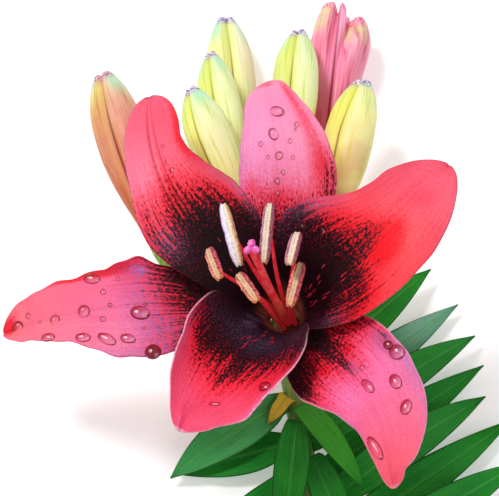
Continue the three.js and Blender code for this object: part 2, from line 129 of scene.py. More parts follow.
def wayAt(line, t):
    k = min(int(clamp(t, 0, 1) * (len(line) - 1)), len(line) - 2)
    return (line[k + 1] - line[k]).normalized()


# pieces

tubeEnd = 0.04  # the share of a limb's rows that round off each end


def finishPiece(bm, name, material, nodes, levels=1):
    mesh = bpy.data.meshes.new(name)
    for v in bm.verts:
        v.co *= mm
    bm.to_mesh(mesh)
    bm.free()
    mesh.shade_smooth()
    piece = bpy.data.objects.new(name, mesh)
    bpy.context.scene.collection.objects.link(piece)
    mesh.materials.append(material)
    if levels:
        smooth = piece.modifiers.new("rounded", "SUBSURF")
        smooth.levels = smooth.render_levels = levels
    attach(piece, "root")
    if nodes:
        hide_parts(*nodes)
    return piece


def shapeBlade(bm, across, along, place, half, marks=None):
    # A grid is laid along place(s, u), with s from base to tip and u from -1 to 1, and then doubled.
    # Each vertex keeps its (u, s, side) as "place", and the value of each mark, for the materials.
    marks = marks or {}
    spot = bm.verts.layers.float_vector.new("place")
    rise = bm.verts.layers.float_vector.new("rise")
    for name in marks:
        bm.verts.layers.float.new(name)
    grown = bmesh.ops.create_grid(bm, x_segments=across, y_segments=along, size=1)["verts"]
    for name, markAt in marks.items():
        layer = bm.verts.layers.float[name]
        for v in grown:
            v[layer] = markAt((v.co.y + 1) / 2, -v.co.x)
    for v in grown:
        s, u = (v.co.y + 1) / 2, -v.co.x
        v[spot] = (u, s, 1)
        v.co = place(s, u)
    bm.normal_update()
    for v in grown:
        v[rise] = v.normal * half(v[spot].y, v[spot].x)
    doubled = bmesh.ops.extrude_face_region(bm, geom=bm.faces[:], use_keep_orig=True)["geom"]
    for v in doubled:
        if isinstance(v, bmesh.types.BMVert):
            v[spot] = (v[spot].x, v[spot].y, -1)
    for v in bm.verts:
        v.co += v[rise] * v[spot].z
    bmesh.ops.recalc_face_normals(bm, faces=bm.faces)
    bm.verts.layers.float_vector.remove(rise)


def shapeRound(bm, around, along, place):
    # A closed form: place(s, turn) brings each end of a grid together in a point, and its two sides.
    grown = bmesh.ops.create_grid(bm, x_segments=around, y_segments=along, size=1, calc_uvs=True)["verts"]
    for v in grown:
        v.co = place((v.co.y + 1) / 2, (v.co.x + 1) / 2)
    bmesh.ops.remove_doubles(bm, verts=grown, dist=1e-4)
    bmesh.ops.recalc_face_normals(bm, faces=bm.faces)


def newRound():
    bm = bmesh.new()
    bm.loops.layers.uv.new("UVMap")
    return bm


def tubeAt(s):  # how far along its line a limb is, between its rounded ends
    return clamp((s - tubeEnd) / (1 - 2 * tubeEnd), 0, 1)


def alongTube(line, radiusAt, above):  # the place function of a limb with rounded ends
    def place(s, turn):
        t = tubeAt(s)
        cap = min(s, 1 - s) / tubeEnd
        r = radiusAt(t) * math.sqrt(1 - (1 - min(cap, 1)) ** 2)
        way = wayAt(line, t)
        side = way.cross(above).normalized()
        angle = 2 * math.pi * turn
        return pointAt(line, t) + side * r * math.cos(angle) + side.cross(way) * r * math.sin(angle)
    return place


# materials

def linear(hexText, alpha=1):
    values = [int(hexText[k:k + 2], 16) / 255 for k in (1, 3, 5)]
    return (*((c / 12.92 if c <= 0.04045 else ((c + 0.055) / 1.055) ** 2.4) for c in values), alpha)


def feed(socket, value):  # links another socket, or sets a number, a vector or a hex colour
    if isinstance(value, bpy.types.NodeSocket):
        socket.id_data.links.new(value, socket)
    else:
        socket.default_value = linear(value) if isinstance(value, str) else value


def addNode(tree, kind, *inputs, out=0, stops=(), **named):
    # Inputs come in their order or by name, and any other name is a setting of the node.
    node = tree.nodes.new("ShaderNode" + kind)
    values = dict(enumerate(inputs))
    for name, value in named.items():
        if name in node.inputs:
            values[name] = value
        else:
            setattr(node, name, value)
    for k, (position, colour) in enumerate(stops):
        if k > 1:
            node.color_ramp.elements.new(position)
        node.color_ramp.elements[k].position = position
        node.color_ramp.elements[k].color = linear(colour)
    for name, value in values.items():
        feed(node.inputs[name], value)
    return node.outputs if out is None else node.outputs[out]


def wire(material, sockets, height=None, relief=0):
    tree = material.node_tree
    if height:
        sockets["Normal"] = addNode(tree, "Bump", Height=height, Distance=relief * mm, Strength=1)
    for name, value in sockets.items():
        feed(tree.nodes["Principled BSDF"].inputs[name], value)


def newMaterial(name, settings):  # the material, and what adds a node to it
    material = bpy.data.materials.new(name)
    material.use_nodes = True
    wire(material, settings)
    return material, partial(addNode, material.node_tree)


def paint(add, colour, layers, **ranging):
    # A layer is a colour and one or more amounts, and shows by their product. An amount is a number, a
    # socket, or a value, from where to where it counts and, if not 0 and 1, how much it gives there.
    for over, *amounts in layers:
        shown = None
        for amount in amounts:
            part = add("MapRange", *amount, **ranging) if isinstance(amount, tuple) else amount
            shown = add("Math", shown, part, operation="MULTIPLY") if shown else part
        colour = add("MixRGB", shown, colour, over)
    return colour


# Tepal skin: waxy cells over coloured sap, half matt. The near-black centre breaks up along the veins
# into streaks and dots with red between them. Cool haze lies on it and on some margins, partly the
# tepal's own grey-violet and partly a painted sheen of the sky; painted crimson shade lies in its grooves,
# and a pale rim along some margins is a painted highlight.
tepalSkin = {
    "shader": {
        "Specular IOR Level": 0.22, "IOR": 1.4, "Coat Weight": 0.03, "Coat Roughness": 0.3,
        "Sheen Weight": 0.03, "Sheen Roughness": 0.4, "Sheen Tint": "#B9A4FF",
        "Subsurface Weight": 0.05, "Subsurface Radius": (0.004, 0.001, 0.001), "Subsurface Scale": 1,
    },
    "veins": (19, 2.4, 1),  # how often they vary from the midrib to the edge, and to the tip
    "dots": (1.4, 0.7, 1), "grain": 1.4, "broad": 0.07,  # per millimetre, the dots across and along
    "streak": 40, "dot": 58,  # how far, in millimetres, they carry the dark in and out
    "veinBlotch": 18, "dotBlotch": 34,  # and the red in front of it
    "nearBlack": "#16060C", "crimson": "#A60A20", "darkHazeAndSheen": "#66506E", "throat": "#8A4A30",
    "back": "#EE8296", "backRib": "#B9B56A", "relief": 0.2,
}


def makeTepalSkin(name, look):
    skin, soft = tepalSkin, {"interpolation_type": "SMOOTHSTEP"}
    material, add = newMaterial(name, skin["shader"])
    spot = add("Attribute", attribute_name="place", out="Vector")
    marks = ("depth", "lilacAndSheen", "redness", "across", "shade")
    depth, lilacAndSheen, redness, across, shade = (
        add("Attribute", attribute_name=mark, out="Fac") for mark in marks
    )
    u, s, side = add("SeparateXYZ", spot, out=None)
    outward = add("Math", u, operation="ABSOLUTE")
    lengthwise = add("Math", s, look["length"], operation="MULTIPLY")
    flat = add("CombineXYZ", across, lengthwise, look["phase"] * 50)
    veinPlace = add("Mapping", spot, (0, 0, look["phase"] * 70), Scale=skin["veins"])
    veins = add("TexNoise", veinPlace, Scale=1, Detail=3, Roughness=0.6)
    dots = add("TexNoise", add("Mapping", flat, Scale=skin["dots"]), Scale=1, Detail=4, Roughness=0.7)
    grain = add("TexNoise", flat, Scale=skin["grain"], Detail=2)
    broad = add("TexNoise", flat, Scale=skin["broad"], Detail=2)

    # Broken is how far inside the ragged edge of the dark centre a place is, in millimetres.
    broken = depth
    for noiseAt, carry in ((veins, skin["streak"]), (dots, skin["dot"])):
        broken = add("Math", noiseAt, carry, broken, operation="MULTIPLY_ADD")
        broken = add("Math", broken, carry / 2, operation="SUBTRACT")
    grains = add("MapRange", grain, 0.56, 0.66, **soft)
    nearEdge = add("MapRange", depth, 22, 2, 0, 0.75, **soft)
    specks = add("Math", grains, nearEdge, operation="MULTIPLY")
    inside = add("MapRange", broken, -1.5, 2, **soft)
    blacker = add("Math", inside, specks, operation="SUBTRACT", use_clamp=True)
    hazeAndSheen = add("MixRGB", blacker, look["hazeAndSheen"], skin["darkHazeAndSheen"])

    # It is redder close in front of the centre, and in patches.
    blotched = add("Math", dots, skin["dotBlotch"], depth, operation="MULTIPLY_ADD")
    blotched = add("Math", veins, skin["veinBlotch"], blotched, operation="MULTIPLY_ADD")
    ragged = add("Math", dots, 0.8, redness, operation="MULTIPLY_ADD")
    nearFront = add("MapRange", blotched, 5, 24, 0, 0.92, **soft)
    patched = add("MapRange", ragged, 0.55, 1.2, **soft)
    redder = add("Math", nearFront, patched, operation="MAXIMUM")
    margin = add("MapRange", outward, 0.965, 1, **soft)
    outline = add("Math", margin, add("MapRange", s, 0.982, 1, **soft), operation="MAXIMUM")

    behind = paint(add, skin["back"], (
        (skin["backRib"], (outward, 0.16, 0.02)),
        (look["sides"][0], (veins, 0.4, 0.7, 0, 0.6)),
    ), **soft)
    colour = paint(add, look["sides"][0], (
        (look["sides"][1], (u, -0.7, 0.7)),
        (look["tip"], (s, 0.6, 0.95)),
        (look["deep"], (broad, 0.5, 0.75, 0, 0.35)),
        (look["deep"], (veins, 0.42, 0.75, 0, 0.25)),
        (look["deep"], (grain, 0.48, 0.72, 0, 0.45)),
        (look["red"], redder),
        # painted crimson shade, mostly in the grooves and along some margins
        (skin["crimson"], shade),
        (skin["crimson"], (broken, -5, -0.5)),
        (skin["nearBlack"], blacker),
        # cool haze, partly the tepal's own grey-violet and partly a painted sheen of the sky, on the dark and
        # margins
        (hazeAndSheen, lilacAndSheen, (dots, 0.42, 0.6, 0.12), (grain, 0.35, 0.6, 0.5)),
        (skin["throat"], (s, 0.13, 0.05, 0, 0.9)),
        # the thin rim along the margin and tip, a painted highlight where its colour is pale
        (look["rim"], outline, (dots, 0.35, 0.55, 0.2, look["rimAmount"]), (s, 0.35, 0.5)),
        (behind, (side, 0.3, -0.3)),
    ), **soft)
    gloss = add("MapRange", dots, 0.3, 0.7, 0.4, 0.62, **soft)
    height = add("Math", grain, 0.6, veins, operation="MULTIPLY_ADD")
    wire(material, {"Base Color": colour, "Roughness": gloss}, height, skin["relief"])
    return material


# Leaf blade: a waxy, half-gloss green skin with raised parallel veins and a pale sunk midrib. Patches of
# blue over it are a painted reflection of the sky, and a coat's share of them is how strongly they show.
leafSkin = {
    "shader": {
        "Roughness": 0.42, "Specular IOR Level": 0.14, "IOR": 1.45,
        "Subsurface Weight": 0.03, "Subsurface Radius": (0.001, 0.003, 0.001), "Subsurface Scale": 1,
    },
    # bloom sets the size of the patches of painted sky reflection
    "veins": 8, "fine": (34, 3, 1), "patches": 45, "bloom": 26, "relief": 0.18,
    "deep": "#0C4416", "skySheen": "#48A070", "vein": "#52B44C", "under": "#5C8C56", "edge": "#071C0C",
}
leafCoats = {
    "leafBladeGreen": {"green": "#1A8C2A", "fresh": "#2CA830", "skySheenAmount": 0.15},
    # a blade with much painted sky reflection
    "leafBladeSkySheen": {"green": "#4CAC60", "fresh": "#44B060", "skySheenAmount": 0.8},
    "leafBladeFresh": {"green": "#3CC034", "fresh": "#4CC038", "skySheenAmount": 0},
    # a pale teal blade, whose colour is a painted reflection of the sky
    "leafBladeSkyReflection": {"green": "#A0D8C0", "fresh": "#74C096", "skySheenAmount": 1},
    "bractGolden": {"green": "#FFD048", "fresh": "#FFC838", "skySheenAmount": 0, "deep": "#A8C83C"},
}


def makeLeafSkin(name):
    skin = {**leafSkin, **leafCoats[name]}
    material, add = newMaterial(name, skin["shader"])
    spot = add("Attribute", attribute_name="place", out="Vector")
    inObject = add("TexCoord", out="Object")
    u, _, side = add("SeparateXYZ", spot, out=None)
    outward = add("Math", u, operation="ABSOLUTE")
    phase = add("Math", outward, 2 * math.pi * skin["veins"], operation="MULTIPLY")
    ribs = add("Math", phase, operation="COSINE")
    fine = add("TexNoise", add("Mapping", spot, Scale=skin["fine"]), Scale=1, Detail=3)
    broad = add("TexNoise", inObject, Scale=skin["patches"], Detail=2)
    skySheenPatches = add("TexNoise", inObject, Scale=skin["bloom"], Detail=1)
    colour = paint(add, skin["green"], (
        (skin["fresh"], (broad, 0.35, 0.65)),
        # painted reflection of the sky, in blue patches
        (skin["skySheen"], (skySheenPatches, 0.52, 0.75, 0, skin["skySheenAmount"])),
        (skin["deep"], (fine, 0.42, 0.68, 0, 0.5)),
        (skin["vein"], (ribs, 0.6, 1, 0, 0.3)),
        (skin["vein"], (outward, 0.1, 0.02, 0, 0.65)),
        (skin["edge"], (outward, 0.9, 1, 0, 0.7)),
        (skin["under"], (side, 0.3, -0.3, 0, 0.75)),
    ))
    height = add("Math", ribs, 0.4, fine, operation="MULTIPLY_ADD")
    wire(material, {"Base Color": colour}, height, skin["relief"])
    return material


# Bud skin: young tepals, waxy and half translucent, streaked lengthwise, with woolly mauve tips. The
# tepal on the left of the upper furrow has its own colours, the leftStops.
budSkin = {
    "shader": {
        "Roughness": 0.45, "Specular IOR Level": 0.3, "IOR": 1.42, "Coat Weight": 0.04, "Coat Roughness": 0.3,
        "Subsurface Weight": 0.06, "Subsurface Radius": (0.003, 0.003, 0.001), "Subsurface Scale": 1,
    },
    "streaks": (70, 3.2, 1), "patches": 70, "wool": 1100, "relief": 0.25,
}


def makeBudSkin(name, look):
    skin = budSkin
    material, add = newMaterial(name, skin["shader"])
    around = add("UVMap", uv_map="UVMap")
    inObject = add("TexCoord", out="Object")
    turn, s, _ = add("SeparateXYZ", around, out=None)
    streaks = add("TexNoise", add("Mapping", around, Scale=skin["streaks"]), Scale=1, Detail=3, Roughness=0.6)
    broad = add("TexNoise", inObject, Scale=skin["patches"], Detail=2)
    wool = add("TexNoise", inObject, Scale=skin["wool"], Detail=2)
    mixed = add("Math", streaks, 0.7, broad, operation="MULTIPLY_ADD")
    capAt = add("Math", wool, 0.03, s, operation="MULTIPLY_ADD")
    seam = add("Math", turn, 3, 0.5, operation="MULTIPLY_ADD")  # 0 on each of the three furrows
    seam = add("Math", seam, operation="FRACT")
    seam = add("Math", seam, 0.5, operation="SUBTRACT")
    seam = add("Math", seam, operation="ABSOLUTE")
    right, left = (
        add("ValToRGB", s, stops=tuple(zip(look["stopsAt"], look[stops]))) for stops in ("stops", "leftStops")
    )
    woolly = paint(add, look["woolLight"], [(look["wool"], (wool, 0.46, 0.56))])
    colour = paint(add, right, (
        (left, (turn, 0.66, 0.68)),
        (look["light"], (streaks, 0.45, 0.75, 0, 0.5)),
        (look["dim"], (streaks, 0.48, 0.3, 0, look["dimAmount"])),
        (look["blushAndShade"], (mixed, 0.68, 0.98, 0, look["blushAmount"]), (s, look["blushTo"], 0.1)),
        (look["edge"], (seam, 0.2, 0.05, 0, look["edgeAmount"])),
        (look["mint"], (seam, 0.16, 0.36), (s, 0.74, 0.84), (broad, 0.38, 0.5), look["mintAmount"]),
        # painted shade in the furrows beside each seam, in the blush colour, fading towards the tip
        (look["blushAndShade"], (seam, 0.09, 0.01, 0, look["shadeAmount"]), (s, 0.75, 0.45)),
        (look["seam"], (seam, 0.03, 0.006, 0, 0.9), (s, 1.15, 0.5)),
        (woolly, (capAt, 0.89, 0.915, 0, 0.9)),
    ))
    wire(material, {"Base Color": colour}, streaks, skin["relief"])
    return material


# Anther: the split pollen sacs, a matt crumbly wall with crosswise notches round a creamy slit. Crumbs
# are 0.7 mm.
antherSkin = {
    "shader": {"Roughness": 0.75, "Specular IOR Level": 0.2, "IOR": 1.4},
    "crumbs": 1500, "notches": (7, 26, 1), "relief": 0.5,
}


def makeAntherSkin(name, look):
    skin = antherSkin
    material, add = newMaterial(name, skin["shader"])
    around = add("UVMap", uv_map="UVMap")
    inObject = add("TexCoord", out="Object")
    turn, s, _ = add("SeparateXYZ", around, out=None)
    crumbs = add("TexNoise", inObject, Scale=skin["crumbs"], Detail=2)
    notches = add("TexNoise", add("Mapping", around, Scale=skin["notches"]), Scale=1, Detail=3, Roughness=0.6)
    fromFace = add("Math", turn, 0.25, operation="SUBTRACT")
    aside = add("Math", fromFace, operation="ABSOLUTE")
    ragged = add("Math", crumbs, 0.08, aside, operation="MULTIPLY_ADD")
    ragged = add("Math", notches, 0.14, ragged, operation="MULTIPLY_ADD")
    ragged = add("Math", ragged, 0.11, operation="SUBTRACT")
    colour = paint(add, add("ValToRGB", ragged, stops=look["stops"]), (
        (add("ValToRGB", ragged, stops=look["farStops"]), (fromFace, -0.01, 0.01)),
        (look["warm"], (s, 0.32, 0.05, 0, look["warmth"])),
        (look["pit"], (notches, 0.5, 0.4), (aside, 0.07, 0.11, 0, look["notched"])),
    ))
    wire(material, {"Base Color": colour}, notches, skin["relief"])
    return material


# Sap-filled stalks: a smooth, wet-looking skin that lets a little light through and darkens in the throat.
# Its emission is a painted glow in its dark colour, standing for the light that comes through the sap.
stalkSkin = {
    "shader": {
        "Specular IOR Level": 0.5, "IOR": 1.42, "Emission Strength": 0.18,
        "Subsurface Weight": 0.4, "Subsurface Radius": (0.003, 0.0006, 0.0006), "Subsurface Scale": 1,
    },
    "cells": 420, "relief": 0.08, "throat": "#4A2418",
}


def makeStalkSkin(name, colour, dark, roughness=0.32, foot=None):
    skin = stalkSkin
    # the dark colour is also emitted: a painted glow, though the stalk is no lamp
    material, add = newMaterial(name, {**skin["shader"], "Roughness": roughness, "Emission Color": dark})
    inObject = add("TexCoord", out="Object")
    cells = add("TexNoise", inObject, Scale=skin["cells"], Detail=3)
    layers = [(dark, (cells, 0.4, 0.62))]
    if foot:
        away = add("VectorMath", inObject, Vector(bloom["foot"]) * mm, out="Value", operation="DISTANCE")
        layers += [(foot, (away, 0.022, 0.015)), (skin["throat"], (away, 0.014, 0.009))]
    wire(material, {"Base Color": paint(add, colour, layers)}, cells, skin["relief"])
    return material


# Lily stem: green rind with fine lengthwise lines and a brown-purple flush, dark inside the receptacle.
stemSkin = {
    "shader": {"Specular IOR Level": 0.25, "IOR": 1.45},
    "lines": (900, 25, 900), "patches": 60, "relief": 0.2,
    "pale": "#86AE4A", "green": "#4F7F34", "flush": "#6B3F2E", "throat": "#5A3A20",
}


def makeStemSkin():
    skin = stemSkin
    material, add = newMaterial("lilyStemRind", skin["shader"])
    inObject = add("TexCoord", out="Object")
    lines = add("TexNoise", add("Mapping", inObject, Scale=skin["lines"]), Scale=1, Detail=3)
    broad = add("TexNoise", inObject, Scale=skin["patches"], Detail=3)
    away = add("VectorMath", inObject, Vector(bloom["foot"]) * mm, out="Value", operation="DISTANCE")
    height = add("SeparateXYZ", inObject, out="Z")
    inside = add("MapRange", height, 0.0364, 0.0374)
    throat = add("Math", add("MapRange", away, 0.013, 0.01), inside, operation="MULTIPLY")
    colour = paint(add, skin["pale"], (
        (skin["green"], (lines, 0.35, 0.7)),
        (skin["flush"], (broad, 0.52, 0.75, 0, 0.55)),
        (skin["throat"], throat),
    ))
    matt = add("MapRange", throat, 0, 1, 0.5, 1)
    wire(material, {"Base Color": colour, "Roughness": matt}, lines, skin["relief"])
    return material


# Rain water: clear and smooth, over red skin. Its colour paints light and shade: the side towards the light
# is painted dark, the far side a painted pale glow where the light would gather, the edge a painted dark ring
# where it bends the light away, and painted glints face the lamp and the far side. A drop full of dark red
# has a deep of up to 1, and one that is clear all over has less than 0.
water = {
    "shader": {"Roughness": 0.1, "IOR": 1.333, "Transmission Weight": 0.6},
    "paintedFarGlow": "#FFD0DC", "dark": "#C41430", "full": "#96081E", "edge": "#901C4C", "paintedGlint": "#FFF4F8",
    "across": (-0.7, 0.7, 0), "toLight": (-0.26, -0.03, 0.965), "fromLight": (0.42, -0.5, 0.757),
}


def makeWater():
    material, add = newMaterial("rainWater", water["shader"])
    deep = add("Attribute", attribute_name="deep", out="Fac")
    rise = add("SeparateXYZ", add("UVMap", uv_map="UVMap"), out="Y")  # 0.5 at the widest, 1 at the top
    normal = add("NewGeometry", out="Normal")
    paintedLitSide, toLight, fromLight = (
        add("VectorMath", normal, water[way], out="Value", operation="DOT_PRODUCT")
        for way in ("across", "toLight", "fromLight")
    )
    # painted highlights: a spark where the key lamp would shine back, and a glow on the far side
    paintedSpark = add("MapRange", toLight, 0.975, 0.987)
    paintedGlow = add("MapRange", fromLight, 0.95, 0.985, 0, 0.6)
    paintedGlint = add("Math", paintedSpark, paintedGlow, operation="MAXIMUM")
    # painted light and shade: dark towards the light, pale away from it, a dark ring at the edge, and the
    # glints
    colour = paint(add, water["paintedFarGlow"], (
        (water["dark"], (paintedLitSide, -0.35, 0.35)),
        (water["full"], deep),
        (water["edge"], (rise, 0.69, 0.59)),
        (water["paintedGlint"], paintedGlint),
    ))
    crescent = add("MapRange", add("Math", paintedLitSide, operation="ABSOLUTE"), 0.15, 0.45, 0.1, 0.75)
    filled = add("Math", deep, 1, operation="ADD", use_clamp=True)
    crescent, paintedGlint = (add("Math", part, filled, operation="MULTIPLY") for part in (crescent, paintedGlint))
    solid = add("Math", crescent, add("MapRange", rise, 0.71, 0.62, 0, 0.9), operation="MAXIMUM")
    solid = add("Math", solid, paintedGlint, operation="MAXIMUM")
    solid = add("Math", solid, deep, operation="MAXIMUM")
    wire(material, {"Base Color": colour, "Alpha": solid})
    return material


# the bloom

bloom = {
    "foot": (0, 0, 38), "turn": (-2, -13),
    "base": 3.2, "lift": 0.7,  # how wide and how high a tepal starts
    "edge": 0.55, "middle": 1.4, "blunt": 0.2, "waves": 2.2,
    "groove": 0.7, "crinkle": 0.5, "veins": 8.5, "veinRelief": 0.05, "tuck": 0.9, "steps": 60,
    "across": 48, "along": 68,
}
tepalKinds = {"inner": {"foot": 4.2, "wave": 2.2}, "outer": {"foot": 5.4, "wave": 1.2}}
